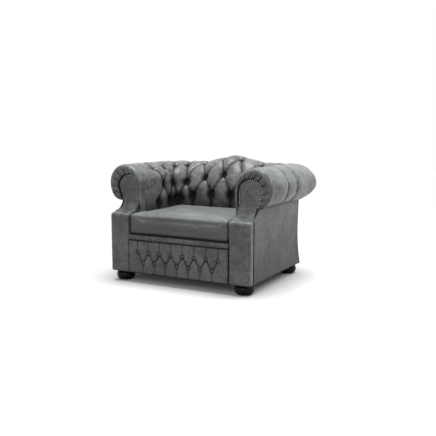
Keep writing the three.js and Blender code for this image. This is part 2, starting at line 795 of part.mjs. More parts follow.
function makeFront() {
  // Four slices to a pitch, so that they meet the buttons and the middles of the pleats
  const slices = 4 * highCount + 2;
  const reach = slices / 8 * borderButtonPitch;
  const inner = steps(-reach, reach, slices).filter((x) => Math.abs(x) < borderHalf);
  const top = stripBottom - clearance;
  const heights = [
    baseBottom, (baseBottom + borderLowRow) / 2, borderLowRow, (borderLowRow + borderHighRow) / 2,
    borderHighRow, (borderHighRow + top) / 2, top,
  ];
  const sliceXs = [-borderHalf, ...inner, borderHalf];
  const rings = sliceXs.map((x) => [
    ...heights.map((z) => new THREE.Vector3(x, borderDepth(x, z), z)),
    new THREE.Vector3(x, borderBack, top), new THREE.Vector3(x, borderBack, baseBottom),
  ]);
  const middles = sliceXs.slice(1).map((x, i) => heights.slice(1).map((z, j) => {
    const [middleX, middleZ] = [(x + sliceXs[i]) / 2, (z + heights[j]) / 2];
    return new THREE.Vector3(middleX, borderDepth(middleX, middleZ), middleZ);
  }));
  const heads = borderButtons.map((p) => new THREE.SphereGeometry(borderButtonRadius, 8, 4)
    .scale(1, borderButtonRise / borderButtonRadius, 1)
    .translate(p.x, borderDepth(p.x, p.z), p.z));
  add('front_border', join(loft(rings, middles), ...heads), leather);

  const depth = borderBack - stripFace;
  const strip = new RoundedBoxGeometry(2 * borderHalf, depth, stripTop - stripBottom, 2, borderPuff);
  strip.translate(0, (borderBack + stripFace) / 2, (stripTop + stripBottom) / 2);
  add('rail_strip', strip, leather);
}

// The outside panels

function makePanels() {
  const top = rollBottom - clearance;
  const heights = steps(baseBottom, top, 10);
  const armRear = heights.map((z) => [rearDepth(z) - panelThickness - clearance, z]);
  const sweep = steps(pillarHeight + facingToe, top, 5).map((z) => [facingDepth(z), z]).reverse();
  const armOutline = [[pillarWrap, baseBottom], ...armRear, ...sweep, [pillarWrap, pillarHeight]];
  addPair('outside_arm', prismX(armOutline, panelInside, side), paleLeather);

  const outer = heights.map((z) => [rearDepth(z), z]);
  const inner = heights.map((z) => [rearDepth(z) - panelThickness, z]).reverse();
  add('outside_back', prismX([...outer, ...inner], -side, side), paleLeather);
}

// The nails, as heads on a thin strip

// One slice of a strip of nails: wide and high over a head, narrow and thin between two heads
function nailSlice(place, across, front, overHead) {
  const base = overHead ? nailRadius : nailStripWidth / 2;
  const face = overHead ? nailRadius / 2 : nailStripWidth / 2;
  const rise = overHead ? nailRise : nailStripThickness;
  return [[-base, 0], [base, 0], [face, rise], [-face, rise]]
    .map(([width, height]) => place.clone().addScaledVector(across, width).addScaledVector(front, height));
}

// A strip of nails along a line, given as a function from a length run to a place on it
function nailStrip(line, count) {
  const slices = [];
  for (let i = 0; i < count; i += 1) {
    const middle = i * nailPitch;
    [[-nailRadius, false], [-nailRadius / 2, true], [nailRadius / 2, true]].forEach(([step, overHead]) => {
      const { place, across, front } = line(middle + step);
      slices.push(nailSlice(place, across, front, overHead));
    });
  }
  const { place, across, front } = line((count - 1) * nailPitch + nailRadius);
  slices.push(nailSlice(place, across, front, false));
  return loft(slices);
}

function makeNails() {
  const bottom = baseBottom + nailRowMargin;
  const rowCount = 1 + Math.floor((pillarHeight - nailRowMargin - bottom) / nailPitch);
  const row = (run) => ({
    place: new THREE.Vector3(side + clearance, pillarWrap + nailInset, bottom + run),
    across: new THREE.Vector3(0, 1, 0),
    front: new THREE.Vector3(1, 0, 0),
  });
  addPair('nail_row', nailStrip(row, rowCount), nailMetal);
  const archLength = 2 * (facingArchZ - nailArchBottom) + Math.PI * (facingArchRadius - nailInset);
  addPair('nail_arch', nailStrip(archPlace, 1 + Math.floor(archLength / nailPitch)), nailMetal);
}

// The line of nails round a facing, from its inner foot over the arch to its neck
function archPlace(run) {
  const radius = facingArchRadius - nailInset;
  const leg = facingArchZ - nailArchBottom;
  const turned = Math.min(Math.max((run - leg) / radius, 0), Math.PI);
  const past = Math.max(run - leg - Math.PI * radius, 0);
  const angle = Math.PI - turned;
  const z = facingArchZ + radius * Math.sin(angle) - Math.max(leg - run, 0) - past;
  const x = past > 0 ? neckReach(z) - nailInset : facingArchX + radius * Math.cos(angle);
  return {
    place: new THREE.Vector3(x, facingSurface(x, z) - 2 * clearance, z),
    across: new THREE.Vector3(Math.cos(angle), 0, Math.sin(angle)),
    front: new THREE.Vector3(0, -1, 0),
  };
}

// The front of the facing at a place on it
function facingSurface(x, z) {
  const [inner, outer] = facingEdges(z);
  const share = Math.min((x - inner) / (outer - inner), (outer - x) / (outer - inner)) * 2;
  return facingDepth(z) - facingCrown * share;
}

// The timbers

const rearPostInside = postOutside - timber;

// A block with the hole for a foot's bolt in its underside
function holed(geometry, x, y) {
  const depth = boltIntoBlock + overrun;
  const radius = boltRadius + clearance;
  const hole = new THREE.CylinderGeometry(radius, radius, depth, 12).rotateX(Math.PI / 2);
  return cut(geometry, hole.translate(x, y, baseBottom + boltIntoBlock + clearance - depth / 2));
}

const footX = side - footSetbackSide;

// The furthest back that a piece can stand inside the flared outside back, from the floor up
function behindFlare(top) {
  return Math.min(rearDepth(baseBottom), rearDepth(top)) - panelThickness - clearance;
}
const footRear = Math.min(baseDepth - footSetbackRear, behindFlare(blockTop) - rearBlockBehind);
const footPlaces = { front: footSetbackFront, rear: footRear };

function makeTimbers() {
  const postBack = pillarWrap - clearance;
  const postTop = pillarHeight - pillarCap - clearance;
  const railFront = borderBack + clearance;
  const seatRailBottom = seatRailTop - seatRailHeight;
  const half = postInside - clearance;
  const postFront = pillarFront + clearance;
  const postSide = side - pillarWall - clearance;
  const sideRailBack = rearPostFront - clearance;
  add('front_rail', block(
    -half, half, railFront, railFront + frontRailThickness, baseBottom, railTop), wood);
  add('seat_front_rail', block(
    -half, half, railFront, railFront + seatRailThickness, seatRailBottom, seatRailTop), wood);
  addPair('front_post', block(
    postInside, postSide, postFront, postBack, baseBottom, postTop), wood);
  addPair('ledge_block', block(
    postInside, postOutside, pillarWrap, facingBack, postTop - ledgeBlockHeight, postTop), wood);
  addPair('side_rail', block(
    rearPostInside, postOutside, pillarWrap, sideRailBack, baseBottom, railTop), wood);

  const blockOuter = rearPostInside - clearance;
  const blockInner = blockOuter - blockWidth;
  const frontBlock = block(
    blockInner, blockOuter, pillarWrap, pillarWrap + blockLength, baseBottom, blockTop);
  const rearBlock = block(
    blockInner, blockOuter, footRear - rearBlockAhead, footRear + rearBlockBehind,
    baseBottom, blockTop);
  addPair('front_block', holed(frontBlock, footX, footPlaces.front), wood);
  addPair('rear_block', holed(rearBlock, footX, footPlaces.rear), wood);

  addPair('rear_post', block(
    rearPostInside, postOutside, rearPostFront, rearPostBack, baseBottom, rollRailTop), wood);
  const seatSideOuter = rearPostInside - clearance;
  const seatSideInner = seatSideOuter - seatSideRailWidth;
  addPair('seat_side_rail', block(
    seatSideInner, seatSideOuter, rollFrontBack + clearance, rearPostBack,
    seatRailBottom, seatRailTop), wood);
  const rearHalf = seatSideInner - clearance;
  add('seat_rear_rail', block(
    -rearHalf, rearHalf, rearSeatRailFront, rearSeatRailFront + seatRailThickness,
    seatRailBottom, seatRailTop), wood);

  const backHalf = blockInner - clearance;
  const rearFace = steps(baseBottom, railTop, 4)
    .map((z) => [rearDepth(z) - panelThickness - clearance, z]);
  const backRailFront = behindFlare(railTop) - backRailThickness;
  const backRailOutline = [[backRailFront, baseBottom], ...rearFace, [backRailFront, railTop]];
  add('back_rail', prismX(backRailOutline, -backHalf, backHalf), wood);

  addPair('arm_roll_rail', block(
    rearPostInside, postOutside, rollFrontBack + clearance, sideRailBack,
    rollRailBottom, rollRailTop), wood);
  const rollHalf = rearPostInside - clearance;
  add('back_roll_rail', block(
    -rollHalf, rollHalf, rearPostFront, rearPostBack, rollRailBottom, rollRailTop), wood);
}

// The seat under the cushion

function makeSeat() {
  const seatRailBack = borderBack + clearance + seatRailThickness;
  const deckBottom = deckTop - deckThickness;
  const anchorFront = seatRailBack + clearance;
  const anchorRear = rearSeatRailFront - clearance - anchorThickness;
  const reach = springPitch * springCount / 2;
  const anchor = (y) => block(
    -reach, reach, y, y + anchorThickness, seatRailTop - anchorHeight, seatRailTop);
  add('spring_anchor_front', anchor(anchorFront), steel);
  add('spring_anchor_rear', anchor(anchorRear), steel);

  const springZ = deckBottom - clearance - springWire / 2;
  const from = anchorFront + anchorThickness + clearance;
  const to = anchorRear - clearance;
  for (let i = 0; i < springCount; i += 1) {
    const x = (i - (springCount - 1) / 2) * springPitch;
    add(`seat_spring_${i + 1}`, zigzag(x, from, to, springZ), steel);
  }

  const deckHalf = pillarInside - clearance;
  const deckBack = rearSeatRailFront + seatRailThickness;
  add('deck_pad', block(
    -deckHalf, deckHalf, borderBack + clearance, deckBack, deckBottom, deckTop), felt);
  const coverTop = baseBottom - clearance;
  const coverBack = rearDepth(baseBottom) - panelThickness - dustCoverInset;
  add('dust_cover', block(
    -deckHalf, deckHalf, borderBack + dustCoverInset, coverBack,
    coverTop - dustCoverThickness, coverTop), cambric);
}

// A flat zigzag of square wire along Y
function zigzag(x, from, to, z) {
  const ys = steps(from, to, springBends + 1);
  const rings = ys.map((y, i) => {
    const atEnd = i === 0 || i === ys.length - 1;
    const swing = atEnd ? 0 : springSwing * (i % 2 ? 1 : -1);
    return [[-1, -1], [1, -1], [1, 1], [-1, 1]].map(([a, b]) => new THREE.Vector3(
      x + swing + a * springWire, y, z + b * springWire / 2));
  });
  return loft(rings);
}

// The loose cushion

const cushionSide = insideArm - cushionSideGap;
const cushionBack = insideBack - cushionBackGap;

// The plan outline: rounded corners, and sides that pull in between them
function cushionOutline(inset) {
  const points = [];
  const corners = [
    [cushionSide, cushionFace, cushionCornerRadius, -90],
    [cushionSide, cushionBack, cushionRearCorner, 0],
    [-cushionSide, cushionBack, cushionRearCorner, 90],
    [-cushionSide, cushionFace, cushionCornerRadius, 180],
  ];
  corners.forEach(([cornerX, cornerY, radius, turn]) => {
    const towards = [Math.sign(cornerX), cornerY > cushionFace ? 1 : -1];
    steps(0, 90, 3).forEach((degrees) => {
      const angle = (turn + degrees) * Math.PI / 180;
      points.push([
        cornerX - towards[0] * radius + (radius - inset) * Math.cos(angle),
        cornerY - towards[1] * radius + (radius - inset) * Math.sin(angle)]);
    });
  });
  const sides = points.flatMap(([x, y], i) => {
    const [nextX, nextY] = points[(i + 1) % points.length];
    const straight = Math.hypot(nextX - x, nextY - y) > cushionRearCorner;
    const places = straight ? steps(0, 1, 6).slice(0, -1) : [0];
    return places.map((share) => [mix(x, nextX, share), mix(y, nextY, share), share]);
  });
  return sides.map(([x, y, share]) => {
    const pull = cushionDrawIn * Math.sin(Math.PI * share);
    const onSide = Math.abs(x) / cushionSide > Math.abs(2 * y / (cushionBack + cushionFace) - 1);
    return onSide ? [x - Math.sign(x) * pull, y] : [x, y + (y < cushionBack / 2 ? pull : -pull)];
  });
}

function makeCushion() {
  const bottom = padBottom;
  const edge = cushionEdgeRadius;
  const middleY = (cushionFace + cushionBack) / 2;
  const lower = edgeHeightShares.map((share, i) => [bottom + edge * share, edge * edgeInsetShares[i]]);
  const upper = lower.map(([z, inset]) => [cushionEdgeHeight + bottom - z, inset]).reverse();
  const rings = [...lower, ...upper].map(
    ([z, inset]) => cushionOutline(inset).map(([x, y]) => new THREE.Vector3(x, y, z)));
  const rim = cushionOutline(edge * edgeInsetShares[0]);
  crownRingShares.forEach((share) => {
    const z = cushionEdgeHeight + cushionCrown * (1 - share * share);
    rings.push(rim.map(([x, y]) => new THREE.Vector3(x * share, mix(middleY, y, share), z)));
  });

  const inset = coverThickness + cushionDrawIn;
  const coreX = cushionSide - inset;
  const coreY = [cushionFace + inset, cushionBack - inset];
  const coreZ = [bottom + coverThickness, cushionEdgeHeight - coverThickness / 2];
  const coreRadius = Math.min(cushionRearCorner, coreZ[1] - coreZ[0]) / 2;
  function coreSolid(extra) {
    const [length, height] = [coreY[1] - coreY[0] + 2 * extra, coreZ[1] - coreZ[0] + 2 * extra];
    const core = new RoundedBoxGeometry(2 * (coreX + extra), length, height, 2, coreRadius);
    return core.translate(0, middleY, (coreZ[0] + coreZ[1]) / 2);
  }
  const zipZ = (coreZ[0] + coreZ[1]) / 2;
  function zipSolid(extra, back) {
    return block(
      -zipLength / 2 - extra, zipLength / 2 + extra, coreY[1] + clearance - 2 * extra, back,
      zipZ - zipHeight / 2 - extra, zipZ + zipHeight / 2 + extra);
  }
  const zipRoom = zipSolid(clearance, cushionBack + overrun);
  add('cushion_cover', cut(loft(rings), coreSolid(clearance), zipRoom), paleLeather);
  add('cushion_core', coreSolid(0), foam);
  add('cushion_zip', zipSolid(0, cushionBack - cushionDrawIn - zipRecess), zipTape);
}

// The feet

function footProfile() {
  const belt = steps(0, 90, 5).map((degrees) => {
    const angle = degrees * Math.PI / 180;
    return [mix(footSoleRadius, footRadius, Math.sin(angle)), footBeltHeight * (1 - Math.cos(angle))];
  });
  const top = baseBottom - clearance;
  const bore = boltRadius + clearance;
  const shoulder = [
    mix(footRadius, footTopRadius, footShoulderRadiusShare),
    mix(footBeltHeight, top, footShoulderHeightShare),
  ];
  const boreEnd = top - boltIntoFoot - clearance;
  return [
    [0, 0], ...belt, shoulder, [footTopRadius, top], [bore, top], [bore, boreEnd], [0, boreEnd],
  ].map(([radius, z]) => new THREE.Vector2(radius, z));
}

function makeFeet() {
  const boltBottom = baseBottom - clearance - boltIntoFoot;
  const boltLength = boltIntoFoot + clearance + boltIntoBlock;
  Object.entries(footPlaces).forEach(([end, y]) => {
    const foot = new THREE.LatheGeometry(footProfile(), 20).rotateX(Math.PI / 2);
    addPair(`foot_${end}`, foot.translate(footX, y, 0), darkWood);
    const bolt = new THREE.CylinderGeometry(boltRadius, boltRadius, boltLength, 8).rotateX(Math.PI / 2);
    addPair(`foot_bolt_${end}`, bolt.translate(footX, y, boltBottom + boltLength / 2), steel);
  });
}

makePads();
makeFacings();
makeScrollBoards();
makeRollFronts();
makePillars();
makeFront();
makePanels();
makeNails();
makeTimbers();
makeSeat();
makeCushion();
makeFeet();

// The origin lies under the middle of the outer box
chair.position.y = -backWide / 2;

export default chair;
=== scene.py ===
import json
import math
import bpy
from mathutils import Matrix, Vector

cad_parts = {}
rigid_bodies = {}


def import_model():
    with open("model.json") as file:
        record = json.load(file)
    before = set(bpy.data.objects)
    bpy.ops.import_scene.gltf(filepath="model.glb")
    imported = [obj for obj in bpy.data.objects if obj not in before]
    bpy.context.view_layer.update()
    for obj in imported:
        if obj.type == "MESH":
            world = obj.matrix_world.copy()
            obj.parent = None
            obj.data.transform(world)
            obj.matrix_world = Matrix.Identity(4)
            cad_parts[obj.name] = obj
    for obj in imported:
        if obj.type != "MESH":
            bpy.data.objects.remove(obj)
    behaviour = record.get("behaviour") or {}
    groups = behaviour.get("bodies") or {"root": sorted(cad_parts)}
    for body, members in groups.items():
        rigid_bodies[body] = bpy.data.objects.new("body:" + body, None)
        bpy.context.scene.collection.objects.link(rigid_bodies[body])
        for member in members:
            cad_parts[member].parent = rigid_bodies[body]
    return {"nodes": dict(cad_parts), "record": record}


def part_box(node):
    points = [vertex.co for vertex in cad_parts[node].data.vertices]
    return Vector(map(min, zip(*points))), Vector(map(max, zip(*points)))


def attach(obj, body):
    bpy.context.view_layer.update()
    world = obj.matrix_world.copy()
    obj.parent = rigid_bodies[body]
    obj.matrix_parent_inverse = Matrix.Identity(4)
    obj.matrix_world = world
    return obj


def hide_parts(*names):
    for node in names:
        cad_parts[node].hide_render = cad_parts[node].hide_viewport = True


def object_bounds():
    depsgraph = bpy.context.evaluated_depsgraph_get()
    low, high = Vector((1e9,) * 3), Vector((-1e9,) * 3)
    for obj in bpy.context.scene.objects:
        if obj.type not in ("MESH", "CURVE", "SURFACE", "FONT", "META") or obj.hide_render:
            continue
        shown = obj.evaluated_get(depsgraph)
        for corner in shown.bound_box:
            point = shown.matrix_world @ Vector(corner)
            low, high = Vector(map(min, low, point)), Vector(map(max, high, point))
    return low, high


bl_info = {
    "name": "Buttoned leather armchair",
    "version": (1, 0, 0),
    "blender": (4, 5, 0),
    "location": "View3D > Sidebar > Armchair",
    "description": "Upholsters the frame of a buttoned leather armchair and sets a plain studio around it",
    "category": "Add Mesh",
}

import bmesh
import bpy
import numpy as np
from bpy.props import FloatProperty, FloatVectorProperty, IntProperty, PointerProperty
from mathutils import Vector

for start_object in list(bpy.data.objects):
    bpy.data.objects.remove(start_object)

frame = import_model()
cad_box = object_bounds()

# Lengths are in metres. Y runs from the fronts of the pillars to the rear, and every piece is
# shifted from there into the frame when it is made.
PILLAR_FRONT = cad_box[0][1]
BODY = "chair_body"
CUSHION = "seat_cushion"
SIDES = {"right": 1, "left": -1}

SIDE = 0.495
PILLAR_INSIDE = 0.3555
PILLAR_TOP = 0.440
BASE_BOTTOM = 0.0626
FIT = 0.0003

# The padded outline of an arm and of the back: its inside face, its crest, its widest place and
# the foot of its roll, with the heights where the straight part ends, of the top and of the
# widest place
ARM = {"inside": 0.338, "crest": 0.467, "wide": 0.594, "foot": 0.500,
       "straight": 0.620, "top": 0.740, "wide_height": 0.620}
BACK = {"inside": 0.562, "crest": 0.800, "wide": 0.930, "foot": 0.760,
        "straight": 0.480, "top": 0.735, "wide_height": 0.590}
PAD_BOTTOM = 0.310
ROLL_BOTTOM = 0.505
INNER_CORNER = 0.075
OUTER_CORNER = 0.135
HUMP_RISE = 0.048
HUMP_SPREAD = 0.150
PAD_FRONT = 0.165
ROLL_TAPER = 0.014
ROLL_TAPER_RUN = 0.05
CORNER_Y = BACK["inside"] - INNER_CORNER
CORNER_X = ARM["inside"] - INNER_CORNER
PAD_THICKNESS = 0.055

# How far up the outline each row of buttons stands: on the arm, at the mitre and on the back
LOW_ROW = (0.54, 0.74, 1.08)
MIDDLE_ROW = (0.91, 1.13, 1.39)
TOP_ROW = (1.61, 1.74, 1.86)

# The scroll: the arch of its facing and the way the facing sweeps forward onto the pillar
ARCH_X = 0.435
ARCH_Z = 0.594
ARCH_RADIUS = 0.079
FACING_FACE = 0.138
FACING_BACK = 0.146
FACING_TOE = 0.006
SWEEP_DEPTH = 0.080
SWEEP_HEIGHT = 0.084
ROLL_FRONT_BACK = 0.1647
ROLL_FRONT_INSIDE = 0.335
NECK = 0.4847

# The outside back: pillar front to its foot, its waist and its neck
BASE_DEPTH = 0.797
WAIST_DEPTH = 0.745
WAIST_HEIGHT = 0.300
NECK_DEPTH = 0.758
PANEL = 0.010
PILLAR_WRAP = 0.052

# The front between the pillars
STRIP = (0.273, 0.307)
BORDER_BACK = 0.022
BORDER_ROWS = ((0.196, 8), (0.132, 7))
BORDER_PITCH = 0.082


# Sizes and colours

def length_setting(name, default, low, high, description):
    return FloatProperty(name=name, description=description, default=default, min=low, max=high,
                         unit='LENGTH', precision=4)


def colour_setting(name, default, description):
    return FloatVectorProperty(name=name, description=description, default=default, size=3,
                               min=0, max=1, subtype='COLOR')


class UpholsterySizes(bpy.types.PropertyGroup):
    """Sizes of the leatherwork"""

    mesh_step: length_setting(
        "Mesh step", 0.0042, 0.002, 0.02, "Distance between the points of the buttoned leather")
    hollow_depth: length_setting(
        "Button hollow", 0.027, 0.0, 0.05, "How far a button pulls the leather in")
    hollow_spread: length_setting(
        "Hollow spread", 0.017, 0.005, 0.05, "Reach of the hollow around a button")
    pleat_depth: length_setting(
        "Pleat depth", 0.019, 0.0, 0.04, "Depth of the folds from button to button")
    puff_width: length_setting(
        "Puff width", 0.046, 0.01, 0.1, "Distance from a fold to where the leather is full again")
    seam_depth: length_setting(
        "Roll seam depth", 0.0105, 0.0, 0.02, "Depth of the folds that run over the roll")
    wrinkle_height: length_setting(
        "Wrinkles", 0.0013, 0.0, 0.005, "Height of the fine wrinkles around each button")
    button_radius: length_setting(
        "Button radius", 0.0085, 0.004, 0.02, "Radius of the covered buttons")
    scroll_pleat_depth: length_setting(
        "Scroll pleat depth", 0.010, 0.0, 0.02, "Depth of the pleats around the scroll fronts")
    nail_radius: length_setting(
        "Nail radius", 0.0050, 0.002, 0.01, "Radius of a nail's head")
    nail_pitch: length_setting(
        "Nail pitch", 0.0126, 0.009, 0.03, "Distance from nail to nail")
    cushion_pressure: FloatProperty(
        name="Cushion filling", description="Pressure that fills the seat cushion's cover",
        default=3.0, min=0.0, max=10.0)
    cushion_swell: length_setting(
        "Cushion swell", 0.005, 0.0, 0.04, "The most that the filling may move the cover")
    simulation_steps: IntProperty(
        name="Filling steps", description="Steps of the cloth simulation of the seat cushion",
        default=20, min=1, max=60)


class FinishColours(bpy.types.PropertyGroup):
    """Colours of the finishes"""

    leather: colour_setting(
        "Leather", (0.190, 0.203, 0.200), "Main colour of the leather")
    leather_dark: colour_setting(
        "Leather shade", (0.083, 0.090, 0.088), "Darker patches of the leather")
    # Also the colour of the painted highlights and paler tops on the pillars and the cushion
    leather_pale: colour_setting(
        "Leather wear and painted highlights", (0.330, 0.345, 0.335), "Rubbed edges, creases and scratches")
    # Painted shade: the colour the leather is darkened to where shade falls, in hollows, folds, seams and
    # gaps
    leather_painted_shade: colour_setting(
        "Leather painted shade", (0.012, 0.008, 0.007), "The leather deep in a fold")
    nail_metal: colour_setting(
        "Nail metal", (0.70, 0.70, 0.68), "Aged metal of the nails")
    foot_wood: colour_setting(
        "Foot wood", (0.010, 0.005, 0.0045), "Dark polished wood of the feet")
    frame_wood: colour_setting(
        "Frame wood", (0.45, 0.29, 0.14), "Plain wood of the frame")
    floor: colour_setting(
        "Floor", (0.835, 0.835, 0.835), "Colour of the studio floor as it is seen")
    floor_bounce: colour_setting(
        "Floor bounce", (0.08, 0.08, 0.08), "Colour of the light that the floor throws back")


class StudioSettings(bpy.types.PropertyGroup):
    """The camera and the lamps"""

    lens: FloatProperty(
        name="Lens", description="Focal length of the camera in millimetres",
        default=53.02, min=10, max=200)
    turn: FloatProperty(
        name="Camera turn", description="Angle of the camera around the chair",
        default=math.radians(28.43), subtype='ANGLE')
    tilt: FloatProperty(
        name="Camera tilt", description="Angle of the camera below the horizon",
        default=math.radians(7.92), subtype='ANGLE')
    place: FloatVectorProperty(
        name="Camera place", description="Where the camera stands",
        default=(2.04694, -3.70848, 0.96687), size=3, subtype='TRANSLATION')
    key_power: FloatProperty(
        name="Key lamp", description="Strength of the large soft lamp above",
        default=2.9, min=0, max=20)
    side_power: FloatProperty(
        name="Side lamp", description="Power of the soft lamp on the right",
        default=7.5, min=0, max=500, unit='POWER')
    front_power: FloatProperty(
        name="Front lamp", description="Power of the large soft lamp in front",
        default=33.0, min=0, max=500, unit='POWER')
    key_softness: FloatProperty(
        name="Key softness", description="How wide the lamp looks from the chair",
        default=math.radians(38), subtype='ANGLE')
    key_from: FloatVectorProperty(
        name="Key direction", description="Direction from the chair to the lamp",
        default=(-0.03, 0.12, 1.0), size=3, subtype='DIRECTION')
    fill_level: FloatProperty(
        name="Fill light", description="Level of the even light from all around",
        default=0.28, min=0, max=2)
    floor_lift: FloatProperty(
        name="Floor lift", description="How far the floor is lifted to white in the picture",
        default=0.02, min=0, max=1)


# General shapes

DRIFT_WAVES = 14
SHARP_ANGLE = math.radians(50)
MIRROR = np.array((-1, 1, 1))
TINY = 1e-12


def mix(start, end, share):
    return start + (end - start) * share


def smooth(share):
    share = np.clip(share, 0, 1)
    return share * share * (3 - 2 * share)


def close_to(distance, reach, power=2):
    """1 at a line or a place, fading to 0 past the reach."""
    return np.exp(-(distance / reach) ** power)


def shade(distance, strength, reach, power=2):
    return strength * close_to(distance, reach, power)


def crowded(count):
    """Shares from 0 to 1 that stand closer together at both ends."""
    return (1 - np.cos(np.linspace(0, math.pi, count))) / 2


def even(*stops):
    """Even steps between stops, given as a value and then pairs of a count and the next value."""
    values = [np.array([stops[0]], float)]
    for start, count, end in zip(stops[0::2], stops[1::2], stops[2::2]):
        values.append(np.linspace(start, end, count + 1)[1:])
    return np.concatenate(values)


def drift(points, length, seed):
    """Smooth random values, mostly between -1 and 1, about a given length from crest to crest."""
    source = np.random.default_rng(seed)
    waves = source.normal(size=(DRIFT_WAVES, 3))
    waves /= np.linalg.norm(waves, axis=1, keepdims=True)
    waves *= 2 * math.pi / length * source.uniform(0.5, 1.5, (DRIFT_WAVES, 1))
    turns = source.uniform(0, 2 * math.pi, DRIFT_WAVES)
    return np.sin(points @ waves.T + turns).sum(-1) / DRIFT_WAVES ** 0.5


def uneven(points, *waves):
    """Smooth random heights, each wave given as its height, its length and a seed."""
    return sum(height * drift(points, length, seed) for height, length, seed in waves)


def groove(distance, depth, width, sharpness=0.002):
    """The depth of a fold: crisp at its line, with full round sides."""
    share = np.clip(np.sqrt(distance ** 2 + sharpness ** 2) / width, 0, 1)
    return depth * (1 - np.sqrt(1 - (1 - share) ** 2))


def line_distance(points, line):
    """Distance from each point to a line of points."""
    least = np.full(points.shape[:-1], np.inf)
    for start, end in zip(line[:-1], line[1:]):
        run = end - start
        share = np.clip((points - start) @ run / (run @ run), 0, 1)
        least = np.minimum(least, ((points - start - share[..., None] * run) ** 2).sum(-1))
    return np.sqrt(least)


def grid_normals(points):
    """The direction square to a grid of points, at each point."""
    across = np.cross(np.gradient(points, axis=0), np.gradient(points, axis=1))
    return across / np.maximum(np.linalg.norm(across, axis=-1, keepdims=True), TINY)


def loft(rings):
    """A closed body from rings of points, with a face over each end."""
    rings = np.asarray(rings)
    count, size = rings.shape[:2]
    index = np.arange(count * size).reshape(count, size)
    after = np.roll(index, -1, axis=1)
    quads = np.stack([index[:-1], after[:-1], after[1:], index[1:]], -1).reshape(-1, 4)
    return rings.reshape(-1, 3), [*quads.tolist(), index[0, ::-1].tolist(), index[-1].tolist()]


def join(bodies):
    """Several bodies of points and faces as one."""
    points, faces, first = [], [], 0
    for body_points, body_faces in bodies:
        points.append(body_points)
        faces.extend([[corner + first for corner in face] for face in body_faces])
        first += len(body_points)
    return np.concatenate(points), faces


def with_back(values):
    """The values at a face's points, with zeros for the two edges of its back."""
    return np.concatenate([values, np.zeros((len(values), 2, *values.shape[2:]))], 1)


# Masks: painted shade in hollows, folds, seams, gaps and low places, and paleness for wear and for painted
# highlights
def face_masks(fold, wear):
    return {"fold": with_back(np.clip(fold, 0, 1)), "wear": with_back(wear + 0 * fold)}


def backed(face, axis, level, fold, wear):
    """A face closed by a plain back at a level of an axis, and its masks."""
    back = face[:, [-1, 0]].copy()
    back[..., axis] = level
    return loft(np.concatenate([face, back], 1)), face_masks(fold, wear)


def running_length(line):
    """The length run along a line at each of its points."""
    return np.concatenate([[0], np.cumsum(np.linalg.norm(np.diff(line, axis=0), axis=1))])


def at_lengths(line, stops):
    """The points of a line at the given lengths run."""
    run = running_length(line)
    return np.stack([np.interp(stops, run, values) for values in line.T], -1)


def turned(profile, sides, radius=1.0, rise=1.0):
    """A body of revolution about Z, from pairs of a radius and a height, both scaled."""
    angles = np.linspace(0, 2 * math.pi, sides, endpoint=False)
    rings = [np.stack([radius * width * np.cos(angles), radius * width * np.sin(angles),
                       0 * angles + rise * height], -1) for width, height in profile]
    return loft(rings)


def faced(body, place, normal):
    """A body moved to a place, with its Z axis turned to a direction."""
    points, faces = body
    turn = Vector((0, 0, 1)).rotation_difference(Vector(normal).normalized()).to_matrix()
    return points @ np.array(turn).T + place, faces


def put_in_scene(name, data, place=(0, 0, 0)):
    piece = bpy.data.objects.new(name, data)
    piece.location = place
    bpy.context.scene.collection.objects.link(piece)
    return piece


def store_masks(mesh, masks):
    """Stores values at a mesh's points for its material."""
    for mask, values in masks.items():
        layer = mesh.attributes.new(mask, 'FLOAT', 'POINT')
        layer.data.foreach_set("value", np.asarray(values, np.float32).ravel())


def make_piece(name, body, material, rides=BODY, replaced=(), slot="leather", masks=None,
               normals=None, fill=None):
    """A finished piece in the scene, with its masks for the material stored at its points."""
    points, faces = body
    mesh = bpy.data.meshes.new(name)
    mesh.from_pydata((points + np.array((0, PILLAR_FRONT, 0))).tolist(), [], faces)
    shape = bmesh.new()
    shape.from_mesh(mesh)
    bmesh.ops.recalc_face_normals(shape, faces=shape.faces)
    shape.to_mesh(mesh)
    shape.free()
    mesh.shade_smooth()
    mesh.set_sharp_from_angle(angle=SHARP_ANGLE)
    store_masks(mesh, masks or {})
    if normals is not None:
        mesh.normals_split_custom_set_from_vertices(normals.reshape(-1, 3).tolist())
    mesh.materials.append(material)
    piece = put_in_scene(name, mesh)
    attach(piece, rides)
    if replaced:
        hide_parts(*replaced)
    return piece


def make_pair(name, build, material, kind="leather", **settings):
    """A piece for the right side and one flipped for the left."""
    for side, sign in SIDES.items():
        (points, faces), masks, *normals = build(sign)
        flip = np.array((sign, 1, 1))
        make_piece(f"{name}_{side}_{kind}", (points * flip, faces), material, masks=masks,
                   normals=normals[0] * flip if normals else None,
                   replaced=[f"{name}_{side}"], **settings)


# The padded outline

def section(outline, share):
    """Reach and height of the outline, from 0 at its foot inside to 4 at its end outside."""
    quarter = np.clip(np.floor(share), 0, 3)
    angle = (share - quarter) * math.pi / 2
    up, out = np.cos(angle), np.sin(angle)
    inside, crest, wide, foot = (outline[key] for key in ("inside", "crest", "wide", "foot"))
    straight, top, wide_height = (outline[key] for key in ("straight", "top", "wide_height"))
    quarters = [quarter == 0, quarter == 1, quarter == 2]
    reach = np.select(
        quarters, [inside + 0 * share, mix(crest, inside, up), mix(crest, wide, out)],
        mix(foot, wide, up))
    height = np.select(
        quarters, [mix(PAD_BOTTOM, straight, share), mix(straight, top, out),
                   mix(wide_height, top, up)],
        mix(wide_height, ROLL_BOTTOM, out))
    return reach, height


